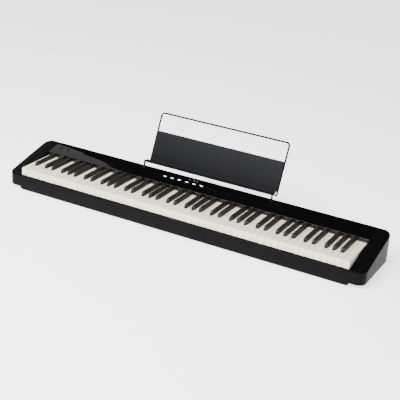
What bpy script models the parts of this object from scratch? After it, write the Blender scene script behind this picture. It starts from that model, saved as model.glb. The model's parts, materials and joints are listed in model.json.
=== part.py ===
"""Slab digital piano: 88 hinged keys in a low case, with a lift-off wire music rest.

Frame: X runs along the keyboard towards the treble end, Y runs from the player to the
back and Z is up.  The origin is on the surface that the feet stand on, below the middle
of the whole object, the leaning music rest included.
"""

import math

import bmesh
import bpy
from mathutils import Matrix, Vector

MM = 0.001

# ---------------------------------------------------------------- driving sizes
# Case
BODY_LENGTH = 1329 * MM
BODY_DEPTH = 232 * MM
REAR_HEIGHT = 110.5 * MM
FRONT_HEIGHT = 53.5 * MM
CORNER_RADIUS = 28 * MM
END_BLOCK_WIDTH = 51.5 * MM
WALL = 3 * MM
TOP_EDGE_RADIUS = 2 * MM
FOOT_HEIGHT = 3 * MM
FOOT_RADIUS = 11 * MM
FOOT_FROM_END = 75 * MM
FOOT_FROM_EDGE = 30 * MM
SKIRT_REVEAL = 4.5 * MM
TRAY_HEIGHT = 15 * MM
TRAY_CORNER_RADIUS = 6 * MM
BLOCK_RISE = 12.5 * MM
BLOCK_PLATE_THICKNESS = 1.5 * MM
BLOCK_PLATE_RECESS = 1 * MM
BLOCK_PLATE_TAB = 12 * MM
RAIL_TOP_DEPTH = 6 * MM

# Top panel and its controls
PANEL_DEPTH = 69 * MM
PANEL_LIP_DROP = 7.5 * MM
PANEL_LIP_THICKNESS = 2.5 * MM
CONTROL_SETBACK = 31 * MM
BUTTON_RADIUS = 4.5 * MM
BUTTON_PROUD = 0.8 * MM
BUTTON_FLANGE = 1.5 * MM
BUTTON_FROM_END = 112.5 * MM
DIAL_RADIUS = 8 * MM
DIAL_WIDTH = 5 * MM
DIAL_PROUD = 1.6 * MM
DIAL_FROM_END = 80.5 * MM
LIGHT_COUNT = 6
LIGHT_PITCH = 28.6 * MM
LIGHT_FIRST_X = -146 * MM
LIGHT_GUIDE_DEPTH = 5 * MM
LIGHT_GUIDE_HEIGHT = 3 * MM
LIGHT_GUIDE_MARGIN = 15 * MM
TOUCH_BOARD_DEPTH = 22 * MM
TOUCH_BOARD_MARGIN = 12 * MM

# Keyboard
NATURAL_COUNT = 52
KEY_GAP = 1 * MM
KEY_HEIGHT = 25.5 * MM
KEY_WALL = 2 * MM
KEY_SETBACK = 7.5 * MM
NATURAL_HEAD = 45 * MM
END_GAP = 2 * MM
SHARP_WIDTH = 12 * MM
SHARP_TOP_WIDTH = 10.2 * MM
SHARP_RISE = 12.5 * MM
SHARP_FRONT_SLOPE = 5 * MM
SHARP_SIDE_GAP = 0.8 * MM
SHARP_FRONT_GAP = 2.6 * MM
FELT_HEIGHT = 3.1 * MM
FELT_DEPTH = 6 * MM
FELT_OVERHANG = 4.5 * MM
FELT_TO_KEY = 0.8 * MM
HINGE_FROM_REAR = 20 * MM
SHARP_HINGE_STEP = 14 * MM
SHARP_BAR_DROP = 2.5 * MM
BAR_WIDTH = 8 * MM

# Bed of the keyboard
FRAME_THICKNESS = 3 * MM
FRAME_DROP = 17.5 * MM
FRAME_FRONT_SETBACK = 4.5 * MM
FRAME_REAR_SETBACK = 9 * MM
FRAME_LEDGE_DEPTH = 12 * MM
FRAME_LEG_FROM_HINGE = 26 * MM
FRAME_WALL = 2.5 * MM
FRAME_WALL_DROP = 4 * MM
STOP_FELT_HEIGHT = 2.5 * MM
KEY_TRAVEL = 10.2 * MM

# Inside the case and at its back
SPEAKER_RADIUS = 42 * MM
SPEAKER_X = 400 * MM
BOARD_THICKNESS = 1.6 * MM
JACK_RADIUS = 6.5 * MM
JACK_LENGTH = 22 * MM
JACK_HEIGHT = 27 * MM
JACK_PITCH = 34 * MM
JACK_FIRST_X = -120 * MM
JACK_PROUD = 0.6 * MM
JACK_BASE = 3 * MM
PHONES_COLLAR = 4.0 * MM
PHONES_BORE = 1.9 * MM
PEDAL_COLLAR = 5.6 * MM
PEDAL_BORE = 3.3 * MM
DC_COLLAR = 4.8 * MM
DC_BORE = 3.2 * MM
DC_PIN = 1.0 * MM
USB_HALF = (6 * MM, 5.6 * MM)
USB_POCKET = (4.3 * MM, 3.9 * MM)
MAIN_BOARD_X = (-250 * MM, -40 * MM)
MAIN_BOARD_DEPTH = 80 * MM
JACK_BOARD_MARGIN = 16 * MM
JACK_BOARD_LAP = 8 * MM

# Music rest
WIRE_RADIUS = 3 * MM
REST_CENTRE_X = 3.5 * MM
REST_HALF_WIDTH = 246 * MM
REST_LEAN = math.radians(23)
REST_TRAY_TILT = math.radians(13)
REST_RUN_TILT = math.radians(28.5)
REST_LEG_FROM_REAR = 10 * MM
REST_LEG_RISE = 25 * MM
REST_BACK_RUN = 43 * MM
REST_SLOPE_LENGTH = 181 * MM
REST_BEND_RADIUS = 4 * MM
REST_CORNER_RADIUS = 11 * MM
REST_PANEL_START = 8 * MM
REST_PANEL_HEIGHT = 108 * MM
REST_SHEET = 2.5 * MM
REST_TRAY_DEPTH = 31 * MM
REST_FOLD_RADIUS = 7 * MM
REST_LIP_HEIGHT = 7 * MM
REST_LIP_RADIUS = 2.5 * MM
SOCKET_WALL = 2.2 * MM
SOCKET_DEPTH = 17.5 * MM
SOCKET_FLOOR = 1.5 * MM
SOCKET_PROUD = 1.2 * MM
SOCKET_CLEARANCE = 0.3 * MM

# Gap kept between pieces that meet
FIT = 0.3 * MM

# ---------------------------------------------------------------- worked-out places
REST_OVERHANG = (
    REST_BACK_RUN * math.cos(REST_RUN_TILT)
    + REST_SLOPE_LENGTH * math.sin(REST_LEAN)
    + WIRE_RADIUS
    - REST_LEG_FROM_REAR
)
FRONT_Y = -(BODY_DEPTH + REST_OVERHANG) / 2
REAR_Y = FRONT_Y + BODY_DEPTH
DECK_TILT = math.atan2(REAR_HEIGHT - FRONT_HEIGHT, BODY_DEPTH)

SKIRT_BOTTOM_Z = FOOT_HEIGHT + SKIRT_REVEAL
FLOOR_Z = FOOT_HEIGHT + WALL
BLOCK_BOTTOM_Z = FOOT_HEIGHT + BLOCK_RISE
BLOCK_INNER_X = BODY_LENGTH / 2 - END_BLOCK_WIDTH
SPAN_HALF = BLOCK_INNER_X - FIT

PANEL_FRONT_Y = REAR_Y - PANEL_DEPTH
CONTROL_Y = REAR_Y - CONTROL_SETBACK


def deck_height(y):
    """Height of the sloping top of the case at depth y."""
    return FRONT_HEIGHT + (REAR_HEIGHT - FRONT_HEIGHT) * (y - FRONT_Y) / BODY_DEPTH


LIP_BOTTOM_Z = deck_height(PANEL_FRONT_Y) - PANEL_LIP_DROP
FELT_BOTTOM_Z = LIP_BOTTOM_Z - FIT - FELT_HEIGHT
KEY_TOP_Z = FELT_BOTTOM_Z - FELT_TO_KEY
KEY_BOTTOM_Z = KEY_TOP_Z - KEY_HEIGHT
PITCH = (2 * BLOCK_INNER_X - 2 * END_GAP) / NATURAL_COUNT
KEYS_LEFT_X = -NATURAL_COUNT * PITCH / 2
KEY_FRONT_Y = FRONT_Y + KEY_SETBACK
SHARP_FRONT_Y = KEY_FRONT_Y + NATURAL_HEAD
SHARP_BACK_Y = PANEL_FRONT_Y - FELT_OVERHANG - 1 * MM
NATURAL_HINGE_Y = REAR_Y - HINGE_FROM_REAR
NATURAL_HINGE_Z = KEY_BOTTOM_Z + KEY_HEIGHT / 2
NATURAL_REAR_Y = NATURAL_HINGE_Y + BAR_WIDTH / 2
SHARP_HINGE_Y = NATURAL_HINGE_Y - SHARP_HINGE_STEP
SHARP_HINGE_Z = KEY_BOTTOM_Z - SHARP_BAR_DROP - BAR_WIDTH / 2
FRAME_TOP_Z = KEY_BOTTOM_Z - FRAME_DROP
FRAME_REAR_Y = REAR_Y - WALL - FRAME_REAR_SETBACK

REST_LEG_Y = REAR_Y - REST_LEG_FROM_REAR
REST_LEG_TOP_Z = deck_height(REST_LEG_Y) + REST_LEG_RISE
REST_BACK_Y = REST_LEG_Y + REST_BACK_RUN * math.cos(REST_RUN_TILT)
REST_BACK_Z = REST_LEG_TOP_Z - REST_BACK_RUN * math.sin(REST_RUN_TILT)
SOCKET_BORE = WIRE_RADIUS + SOCKET_CLEARANCE
SOCKET_RADIUS = SOCKET_BORE + SOCKET_WALL

# Sharps sit between the naturals of two groups, C to E and F to B: each group's first
# natural, its number of naturals, and the letters that its sharps are named for.
OCTAVE_NATURALS = "CDEFGAB"
SHARP_GROUPS = ((0, 3, "CD"), (3, 4, "FGA"))

FINISHES = {
    "case_satin": ((0.020, 0.020, 0.022), 0.42, 0.0),
    "panel_gloss": ((0.006, 0.006, 0.007), 0.08, 0.0),
    "base_matte": ((0.018, 0.018, 0.018), 0.65, 0.0),
    "key_ivory": ((0.80, 0.78, 0.73), 0.48, 0.0),
    "key_ebony": ((0.028, 0.027, 0.026), 0.55, 0.0),
    "red_felt": ((0.22, 0.015, 0.015), 0.95, 0.0),
    "grey_felt": ((0.12, 0.12, 0.12), 0.95, 0.0),
    "rest_sheet": ((0.045, 0.045, 0.052), 0.45, 0.1),
    "rest_wire": ((0.012, 0.012, 0.012), 0.35, 0.4),
    "rubber": ((0.015, 0.015, 0.015), 0.85, 0.0),
    "steel": ((0.45, 0.45, 0.46), 0.35, 1.0),
    "board": ((0.03, 0.14, 0.06), 0.50, 0.0),
    "jack": ((0.02, 0.02, 0.02), 0.50, 0.0),
    "paper_cone": ((0.03, 0.03, 0.03), 0.80, 0.0),
    "light_guide": ((0.75, 0.78, 0.80), 0.30, 0.0),
}


# ---------------------------------------------------------------- scene helpers
def clear_scene():
    for item in list(bpy.data.objects):
        bpy.data.objects.remove(item, do_unlink=True)


def finish(name):
    """The Principled material of a finish, made once."""
    material = bpy.data.materials.get(name)
    if material is None:
        colour, roughness, metallic = FINISHES[name]
        material = bpy.data.materials.new(name)
        material.use_nodes = True
        shader = material.node_tree.nodes["Principled BSDF"]
        shader.inputs["Base Color"].default_value = (*colour, 1)
        shader.inputs["Roughness"].default_value = roughness
        shader.inputs["Metallic"].default_value = metallic
        material.diffuse_color = (*colour, 1)
    return material


def place(name, bm, finish_name, at=(0, 0, 0), turn=0.0, smooth=False):
    """Make an object of a mesh drawn about its own origin, turned about X and set down."""
    bmesh.ops.recalc_face_normals(bm, faces=bm.faces)
    mesh = bpy.data.meshes.new(name)
    bm.to_mesh(mesh)
    bm.free()
    mesh.materials.append(finish(finish_name))
    if smooth:
        mesh.shade_smooth()
        mesh.set_sharp_from_angle(angle=math.radians(35))
    item = bpy.data.objects.new(name, mesh)
    item.location = at
    item.rotation_euler = (turn, 0, 0)
    bpy.context.scene.collection.objects.link(item)
    return item


def boolean(item, tool_mesh, operation):
    """Cut or join a hidden tool into an object that shares the tool's placement."""
    tool = place(item.name + "_tool", tool_mesh, "jack")
    tool.location = item.location
    tool.rotation_euler = item.rotation_euler
    tool.hide_render = True
    tool.display_type = "WIRE"
    change = item.modifiers.new(operation.lower(), "BOOLEAN")
    change.operation = operation
    change.solver = "EXACT"
    change.object = tool


# ---------------------------------------------------------------- mesh builders
def bridge(bm, lower, upper):
    """Join two closed loops of as many points with a band of quads."""
    for i in range(len(lower)):
        j = (i + 1) % len(lower)
        bm.faces.new((lower[i], lower[j], upper[j], upper[i]))


def stack(bm, loops):
    """Closed skin over a stack of loops, each a list of points, capped at both ends."""
    rings = [[bm.verts.new(point) for point in loop] for loop in loops]
    for lower, upper in zip(rings, rings[1:]):
        bridge(bm, lower, upper)
    bm.faces.new(list(reversed(rings[0])))
    bm.faces.new(rings[-1])
    return rings


def add_box(bm, low, high):
    outline = [(low[0], low[1]), (high[0], low[1]), (high[0], high[1]), (low[0], high[1])]
    stack(bm, [[(x, y, z) for x, y in outline] for z in (low[2], high[2])])


def box(low, high):
    bm = bmesh.new()
    add_box(bm, low, high)
    return bm


def bar_along_x(profile, left, right):
    """A profile in Y and Z drawn out along X."""
    bm = bmesh.new()
    stack(bm, [[(x, y, z) for y, z in profile] for x in (left, right)])
    return bm


def turned(profile, segments=24):
    """A solid of revolution about local Z; the profile starts and ends on the axis."""
    bm = bmesh.new()
    bottom = bm.verts.new((0, 0, profile[0][1]))
    top = bm.verts.new((0, 0, profile[-1][1]))
    rings = []
    for radius, height in profile[1:-1]:
        ring = []
        for i in range(segments):
            angle = 2 * math.pi * i / segments
            ring.append(bm.verts.new((radius * math.cos(angle), radius * math.sin(angle), height)))
        rings.append(ring)
    for lower, upper in zip(rings, rings[1:]):
        bridge(bm, lower, upper)
    for i in range(segments):
        j = (i + 1) % segments
        bm.faces.new((bottom, rings[0][j], rings[0][i]))
        bm.faces.new((top, rings[-1][i], rings[-1][j]))
    return bm


def arc_points(centre, radius, start, end, steps):
    """Points on a quarter or other arc, its two ends included."""
    points = []
    for i in range(steps + 1):
        angle = start + (end - start) * i / steps
        points.append((centre[0] + radius * math.cos(angle), centre[1] + radius * math.sin(angle)))
    return points


def rounded_path(points, radii, steps):
    """Replace the inner corners of an open path with arcs of the given radii."""
    path = [Vector(points[0])]
    for before, corner, after, radius in zip(points, points[1:], points[2:], radii):
        corner = Vector(corner)
        back = (Vector(before) - corner).normalized()
        ahead = (Vector(after) - corner).normalized()
        half = back.angle(ahead) / 2
        middle = corner + (back + ahead).normalized() * radius / math.sin(half)
        first = (corner + back * radius / math.tan(half) - middle).normalized()
        last = (corner + ahead * radius / math.tan(half) - middle).normalized()
        for i in range(steps + 1):
            path.append(middle + first.slerp(last, i / steps) * radius)
    path.append(Vector(points[-1]))
    return path


# ---------------------------------------------------------------- case
def block_outline(side, inset, steps=6):
    """Plan of an end block moved in by inset, from the front round its outer end to the rear."""
    radius = max(CORNER_RADIUS - inset, MM)
    outer_x = BODY_LENGTH / 2 - inset - radius
    front = FRONT_Y + inset
    rear = REAR_Y - inset
    quarter = math.pi / 2
    points = arc_points((outer_x, front + radius), radius, -quarter, 0, steps)
    points += arc_points((outer_x, rear - radius), radius, 0, quarter, steps)
    return [(side * x, y) for x, y in points]


def tray_outline(inset, steps=3):
    """Plan of the tray between the end blocks, moved in by inset from its outer face."""
    radius = max(TRAY_CORNER_RADIUS - inset, MM)
    right = SPAN_HALF - inset - radius
    front = FRONT_Y + WALL + FIT + inset + radius
    rear = REAR_Y - WALL - FIT - inset - radius
    quarter = math.pi / 2
    points = arc_points((right, front), radius, -quarter, 0, steps)
    points += arc_points((right, rear), radius, 0, quarter, steps)
    points += arc_points((-right, rear), radius, quarter, 2 * quarter, steps)
    points += arc_points((-right, front), radius, 2 * quarter, 3 * quarter, steps)
    return points


def lower_case():
    """Tray under the keys, with a thin plate at each end that closes a block from below."""
    top = FOOT_HEIGHT + TRAY_HEIGHT
    levels = ((0, FOOT_HEIGHT), (0, top), (WALL, top), (WALL, FLOOR_Z))
    bm = bmesh.new()
    stack(bm, [[(x, y, height) for x, y in tray_outline(inset)] for inset, height in levels])
    item = place("lower_case", bm, "base_matte")
    plates = bmesh.new()
    plate_top = BLOCK_BOTTOM_Z - FIT
    for side in (-1, 1):
        outside = side * (BLOCK_INNER_X + FIT)
        inside = side * (SPAN_HALF - WALL / 2)
        front = FRONT_Y + BLOCK_PLATE_TAB
        rear = REAR_Y - BLOCK_PLATE_TAB
        plan = [(inside, front), (outside, front), (outside, FRONT_Y + BLOCK_PLATE_RECESS)]
        plan += block_outline(side, BLOCK_PLATE_RECESS)
        plan += [(outside, REAR_Y - BLOCK_PLATE_RECESS), (outside, rear), (inside, rear)]
        heights = (plate_top - BLOCK_PLATE_THICKNESS, plate_top)
        stack(plates, [[(x, y, height) for x, y in plan] for height in heights])
    bmesh.ops.recalc_face_normals(plates, faces=plates.faces)
    boolean(item, plates, "UNION")
    slots = bmesh.new()
    slot_count = 9
    slot_pitch = 2 * SPEAKER_RADIUS / (slot_count + 2)
    for side in (-1, 1):
        for i in range(slot_count):
            offset = (i - (slot_count - 1) / 2) * slot_pitch
            half = math.sqrt((SPEAKER_RADIUS - WALL) ** 2 - offset**2) - WALL
            x = side * SPEAKER_X
            y = speaker_y() + offset
            low = (x - half, y - slot_pitch / 4, FOOT_HEIGHT - WALL)
            high = (x + half, y + slot_pitch / 4, FLOOR_Z + WALL)
            add_box(slots, low, high)
    boolean(item, slots, "DIFFERENCE")


def end_block(name, side):
    """Hollow sloping cheek beside the keys, open below; side is -1 for the bass end."""

    def outline(inset):
        inner_x = side * (BLOCK_INNER_X + inset)
        return [(inner_x, FRONT_Y + inset), *block_outline(side, inset), (inner_x, REAR_Y - inset)]

    outer = outline(0)
    inner = outline(WALL)
    loops = [
        [(x, y, deck_height(y) - WALL) for x, y in inner],
        [(x, y, BLOCK_BOTTOM_Z) for x, y in inner],
        [(x, y, BLOCK_BOTTOM_Z) for x, y in outer],
        [(x, y, deck_height(y)) for x, y in outer],
    ]
    bm = bmesh.new()
    rings = stack(bm, loops)
    top = set(rings[-1])
    edges = [edge for edge in bm.edges if set(edge.verts) <= top]
    edges = [edge for edge in edges if not is_inner_edge(edge, side)]
    bmesh.ops.recalc_face_normals(bm, faces=bm.faces)
    bmesh.ops.bevel(bm, geom=edges, offset=TOP_EDGE_RADIUS, segments=2, affect="EDGES", profile=0.5)
    place(name, bm, "case_satin", smooth=True)


def is_inner_edge(edge, side):
    """True for the straight top edge of an end block beside the keys."""
    limit = BLOCK_INNER_X + MM
    return all(side * vert.co.x < limit for vert in edge.verts)


def front_rail():
    """Key slip: the long front face of the case with its narrow top."""
    inner = FRONT_Y + RAIL_TOP_DEPTH
    profile = [
        (FRONT_Y, SKIRT_BOTTOM_Z),
        (FRONT_Y + WALL, SKIRT_BOTTOM_Z),
        (FRONT_Y + WALL, FRONT_HEIGHT - WALL),
        (inner, FRONT_HEIGHT - WALL),
        (inner, deck_height(inner)),
        (FRONT_Y + TOP_EDGE_RADIUS, deck_height(FRONT_Y + TOP_EDGE_RADIUS)),
        (FRONT_Y + TOP_EDGE_RADIUS / 3, FRONT_HEIGHT - TOP_EDGE_RADIUS / 4),
        (FRONT_Y, FRONT_HEIGHT - TOP_EDGE_RADIUS),
    ]
    place("front_rail", bar_along_x(profile, -SPAN_HALF, SPAN_HALF), "case_satin")


def top_panel():
    lip_back = PANEL_FRONT_Y + PANEL_LIP_THICKNESS
    profile = [
        (PANEL_FRONT_Y, LIP_BOTTOM_Z),
        (lip_back, LIP_BOTTOM_Z),
        (lip_back, deck_height(lip_back) - WALL),
        (REAR_Y, REAR_HEIGHT - WALL),
        (REAR_Y, REAR_HEIGHT),
        (PANEL_FRONT_Y, deck_height(PANEL_FRONT_Y)),
    ]
    item = place("top_panel", bar_along_x(profile, -SPAN_HALF, SPAN_HALF), "panel_gloss")
    tools = bmesh.new()
    reach = 4 * WALL
    for side in (-1, 1):
        leg_x = REST_CENTRE_X + side * REST_HALF_WIDTH
        hole = Matrix.Translation((leg_x, REST_LEG_Y, deck_height(REST_LEG_Y)))
        add_cylinder(tools, hole, SOCKET_RADIUS + FIT, reach)
    tilt = Matrix.Rotation(DECK_TILT, 4, "X")
    hole = Matrix.Translation((button_x(), CONTROL_Y, deck_height(CONTROL_Y))) @ tilt
    add_cylinder(tools, hole, BUTTON_RADIUS + FIT, reach)
    sink = DIAL_RADIUS - DIAL_PROUD
    half_slot = math.sqrt(DIAL_RADIUS**2 - (sink - WALL) ** 2) + FIT
    slot = Matrix.Translation((dial_x(), CONTROL_Y, deck_height(CONTROL_Y))) @ tilt
    add_block(tools, slot, (half_slot, DIAL_WIDTH / 2 + FIT, reach))
    boolean(item, tools, "DIFFERENCE")


def add_cylinder(bm, where, radius, half_height):
    bmesh.ops.create_cone(
        bm, cap_ends=True, segments=24, radius1=radius, radius2=radius, depth=2 * half_height, matrix=where
    )


def add_block(bm, where, half_sizes):
    size = Matrix.Diagonal((*(2 * half for half in half_sizes), 1))
    bmesh.ops.create_cube(bm, size=1, matrix=where @ size)


def rear_cover():
    inner = REAR_Y - WALL
    top_gap = WALL + FIT
    profile = [
        (inner, SKIRT_BOTTOM_Z),
        (REAR_Y, SKIRT_BOTTOM_Z),
        (REAR_Y, REAR_HEIGHT - top_gap),
        (inner, deck_height(inner) - top_gap),
    ]
    item = place("rear_cover", bar_along_x(profile, -SPAN_HALF, SPAN_HALF), "case_satin")
    tools = bmesh.new()
    upright = Matrix.Rotation(math.pi / 2, 4, "X")
    for name, x, collar, *hidden in round_jacks():
        hole = Matrix.Translation((x, REAR_Y, JACK_HEIGHT)) @ upright
        add_cylinder(tools, hole, collar + FIT, 4 * WALL)
    where = Matrix.Translation((usb_x(), REAR_Y, JACK_HEIGHT))
    add_block(tools, where, (USB_HALF[0] + FIT, 4 * WALL, USB_HALF[1] + FIT))
    boolean(item, tools, "DIFFERENCE")


def feet():
    profile = [(0, 0), (FOOT_RADIUS - MM, 0), (FOOT_RADIUS, MM), (FOOT_RADIUS, FOOT_HEIGHT - FIT)]
    profile.append((0, FOOT_HEIGHT - FIT))
    for x_side, x_name in ((-1, "left"), (1, "right")):
        for y, y_name in ((FRONT_Y + FOOT_FROM_EDGE, "front"), (REAR_Y - FOOT_FROM_EDGE, "rear")):
            at = (x_side * (BODY_LENGTH / 2 - FOOT_FROM_END), y, 0)
            place(f"foot_{y_name}_{x_name}", turned(profile), "rubber", at=at, smooth=True)


# ---------------------------------------------------------------- keys
def sharp_centre(octave_left, group, place_in_group):
    """X of a sharp: its group's keys, naturals and sharps, share the width evenly."""
    start, naturals = SHARP_GROUPS[group][:2]
    share = (1.5 + 2 * place_in_group) / (2 * naturals - 1)
    return octave_left + (start + naturals * share) * PITCH


def octave_left_x(octave):
    """X of the left edge of C in an octave; octave 0 holds only the lowest A and B."""
    return KEYS_LEFT_X + (2 + 7 * (octave - 1)) * PITCH


def sharps_of(octave):
    """(letter, x) of every sharp in an octave that the keyboard has."""
    found = []
    for group in range(len(SHARP_GROUPS)):
        for i, letter in enumerate(SHARP_GROUPS[group][2]):
            x = sharp_centre(octave_left_x(octave), group, i)
            if KEYS_LEFT_X + PITCH / 2 < x < -KEYS_LEFT_X - PITCH / 2:
                found.append((letter, x))
    return found


def all_sharp_centres():
    return [x for octave in range(9) for letter, x in sharps_of(octave)]


def natural_outline(index, inset, rear_inset):
    """Plan of a natural key, notched where a sharp stands beside its tail."""
    left = KEYS_LEFT_X + index * PITCH + KEY_GAP / 2 + inset
    right = KEYS_LEFT_X + (index + 1) * PITCH - KEY_GAP / 2 - inset
    front = KEY_FRONT_Y + inset
    rear = NATURAL_REAR_Y - rear_inset
    notch_y = SHARP_FRONT_Y - SHARP_FRONT_GAP - inset
    reach = SHARP_WIDTH / 2 + SHARP_SIDE_GAP + inset
    tail_left = left
    tail_right = right
    for x in all_sharp_centres():
        if abs(x - (left - inset)) < reach:
            tail_left = x + reach
        if abs(x - (right + inset)) < reach:
            tail_right = x - reach
    points = [(left, front), (right, front)]
    if tail_right != right:
        points += [(right, notch_y), (tail_right, notch_y)]
    points += [(tail_right, rear), (tail_left, rear)]
    if tail_left != left:
        points += [(tail_left, notch_y), (left, notch_y)]
    return points


def add_natural(bm, index, hinge):
    """One natural key as a shell open below, with a solid block round its hinge."""
    outer = natural_outline(index, 0, 0)
    inner = natural_outline(index, KEY_WALL, BAR_WIDTH + KEY_WALL)
    loops = [
        [(x, y, KEY_TOP_Z - KEY_WALL) for x, y in inner],
        [(x, y, KEY_BOTTOM_Z) for x, y in inner],
        [(x, y, KEY_BOTTOM_Z) for x, y in outer],
        [(x, y, KEY_TOP_Z) for x, y in outer],
    ]
    stack(bm, [[Vector(point) - hinge for point in loop] for loop in loops])


def add_sharp(bm, x, hinge):
    """One sharp: a raised tapering block with its stick and a foot down to its hinge."""
    foot_front = SHARP_HINGE_Y - BAR_WIDTH / 2 - 2 * MM
    foot_back = SHARP_HINGE_Y + BAR_WIDTH / 2 + 2 * MM
    foot_z = SHARP_HINGE_Z - BAR_WIDTH / 2
    top_z = KEY_TOP_Z + SHARP_RISE
    stick_z = KEY_TOP_Z - KEY_WALL
    wide = SHARP_WIDTH / 2
    narrow = SHARP_TOP_WIDTH / 2
    lower = [
        (SHARP_FRONT_Y, KEY_TOP_Z),
        (SHARP_FRONT_Y, KEY_BOTTOM_Z),
        (foot_front, KEY_BOTTOM_Z),
        (foot_front, foot_z),
        (foot_back, foot_z),
        (foot_back, stick_z),
        (SHARP_BACK_Y, stick_z),
        (SHARP_BACK_Y, KEY_TOP_Z),
    ]
    upper = [(SHARP_BACK_Y, top_z), (SHARP_FRONT_Y + SHARP_FRONT_SLOPE, top_z)]
    sides = []
    for side in (-1, 1):
        below = [bm.verts.new(Vector((x + side * wide, y, z)) - hinge) for y, z in lower]
        above = [bm.verts.new(Vector((x + side * narrow, y, z)) - hinge) for y, z in upper]
        bm.faces.new(below)
        bm.faces.new((below[-1], above[0], above[1], below[0]))
        sides.append(below + above)
    bridge(bm, sides[0], sides[1])


def key_node(name, add_key, keys, hinge, finish_name, bar_ends, bar_half):
    """A key, or several joined by a bar at the hinge, with its origin on the hinge axis."""
    bm = bmesh.new()
    for key in keys:
        add_key(bm, key, hinge)
    item = place(name, bm, finish_name, at=hinge)
    if len(keys) > 1:
        left, right = bar_ends
        low = (left - hinge.x, -bar_half, -bar_half)
        high = (right - hinge.x, bar_half, bar_half)
        boolean(item, box(low, high), "UNION")


def naturals_node(name, first, last):
    indices = list(range(first, last + 1))
    left = KEYS_LEFT_X + first * PITCH
    right = KEYS_LEFT_X + (last + 1) * PITCH
    hinge = Vector(((left + right) / 2, NATURAL_HINGE_Y, NATURAL_HINGE_Z))
    ends = (left + PITCH / 2, right - PITCH / 2)
    key_node(name, add_natural, indices, hinge, "key_ivory", ends, BAR_WIDTH / 2 - MM)


def sharps_node(name, centres):
    middle = (centres[0] + centres[-1]) / 2
    hinge = Vector((middle, SHARP_HINGE_Y, SHARP_HINGE_Z))
    ends = (centres[0], centres[-1])
    key_node(name, add_sharp, centres, hinge, "key_ebony", ends, BAR_WIDTH / 2 - MM)


def keyboard():
    """The middle octave key by key, and every other octave as two joined groups."""
    naturals_node("naturals_octave_0", 0, 1)
    sharps_node("sharps_octave_0", [x for letter, x in sharps_of(0)])
    for octave in range(1, 8):
        first = 2 + 7 * (octave - 1)
        last = first + (7 if octave == 7 else 6)
        if octave != 4:
            naturals_node(f"naturals_octave_{octave}", first, last)
            sharps_node(f"sharps_octave_{octave}", [x for letter, x in sharps_of(octave)])
            continue
        for i, letter in enumerate(OCTAVE_NATURALS):
            naturals_node(f"key_{letter}4", first + i, first + i)
        for letter, x in sharps_of(octave):
            sharps_node(f"key_{letter}4_sharp", [x])


def key_felt():
    front = PANEL_FRONT_Y - FELT_OVERHANG
    low = (-SPAN_HALF + FIT, front, FELT_BOTTOM_Z)
    high = (SPAN_HALF - FIT, front + FELT_DEPTH, FELT_BOTTOM_Z + FELT_HEIGHT)
    place("key_felt", box(low, high), "red_felt")


def key_frame():
    """Sheet-steel bed under the keys: legs, a front ledge for the felt and a back wall."""
    front = KEY_FRONT_Y + FRAME_FRONT_SETBACK
    under = FRAME_TOP_Z - FRAME_THICKNESS
    leg_foot = FLOOR_Z + FIT
    back_leg = NATURAL_HINGE_Y - FRAME_LEG_FROM_HINGE
    wall_back = FRAME_REAR_Y
    wall_front = wall_back - FRAME_WALL
    wall_top = KEY_TOP_Z - FRAME_WALL_DROP
    ledge_back = front + FRAME_LEDGE_DEPTH
    ledge_z = stop_felt_bottom() - FIT
    profile = [
        (front, leg_foot),
        (front + FRAME_THICKNESS, leg_foot),
        (front + FRAME_THICKNESS, under),
        (back_leg, under),
        (back_leg, leg_foot),
        (back_leg + FRAME_THICKNESS, leg_foot),
        (back_leg + FRAME_THICKNESS, under),
        (wall_back, under),
        (wall_back, wall_top),
        (wall_front, wall_top),
        (wall_front, FRAME_TOP_Z),
        (ledge_back, FRAME_TOP_Z),
        (ledge_back, ledge_z),
        (front, ledge_z),
    ]
    half = SPAN_HALF - WALL - END_GAP
    place("key_frame", bar_along_x(profile, -half, half), "steel")
    low = (-half, front + MM, stop_felt_bottom())
    high = (half, ledge_back - MM, stop_felt_bottom() + STOP_FELT_HEIGHT)
    place("key_stop_felt", box(low, high), "grey_felt")


def stop_felt_bottom():
    """Underside of the felt that the fronts of pressed keys come down on."""
    return KEY_BOTTOM_Z - KEY_TRAVEL - STOP_FELT_HEIGHT


# ---------------------------------------------------------------- controls and insides
def button_x():
    return -BODY_LENGTH / 2 + BUTTON_FROM_END


def dial_x():
    return -BODY_LENGTH / 2 + DIAL_FROM_END


def on_deck(x, below):
    """A point on the normal of the deck under the row of controls."""
    return (x, CONTROL_Y + below * math.sin(DECK_TILT), deck_height(CONTROL_Y) - below * math.cos(DECK_TILT))


def power_button():
    flange = BUTTON_RADIUS + BUTTON_FLANGE
    under = -WALL - MM
    profile = [
        (0, under - 1.5 * MM),
        (flange, under - 1.5 * MM),
        (flange, under),
        (BUTTON_RADIUS, under),
        (BUTTON_RADIUS, BUTTON_PROUD - 0.3 * MM),
        (BUTTON_RADIUS - 0.3 * MM, BUTTON_PROUD),
        (0, BUTTON_PROUD),
    ]
    centre = on_deck(button_x(), 0)
    place("power_button", turned(profile), "case_satin", at=centre, turn=DECK_TILT, smooth=True)


def volume_dial():
    half = DIAL_WIDTH / 2
    edge = 0.5 * MM
    profile = [
        (0, -half),
        (DIAL_RADIUS - edge, -half),
        (DIAL_RADIUS, edge - half),
        (DIAL_RADIUS, half - edge),
        (DIAL_RADIUS - edge, half),
        (0, half),
    ]
    centre = on_deck(dial_x(), DIAL_RADIUS - DIAL_PROUD)
    turn = DECK_TILT - math.pi / 2
    place("volume_dial", turned(profile, 32), "case_satin", at=centre, turn=turn, smooth=True)


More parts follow.
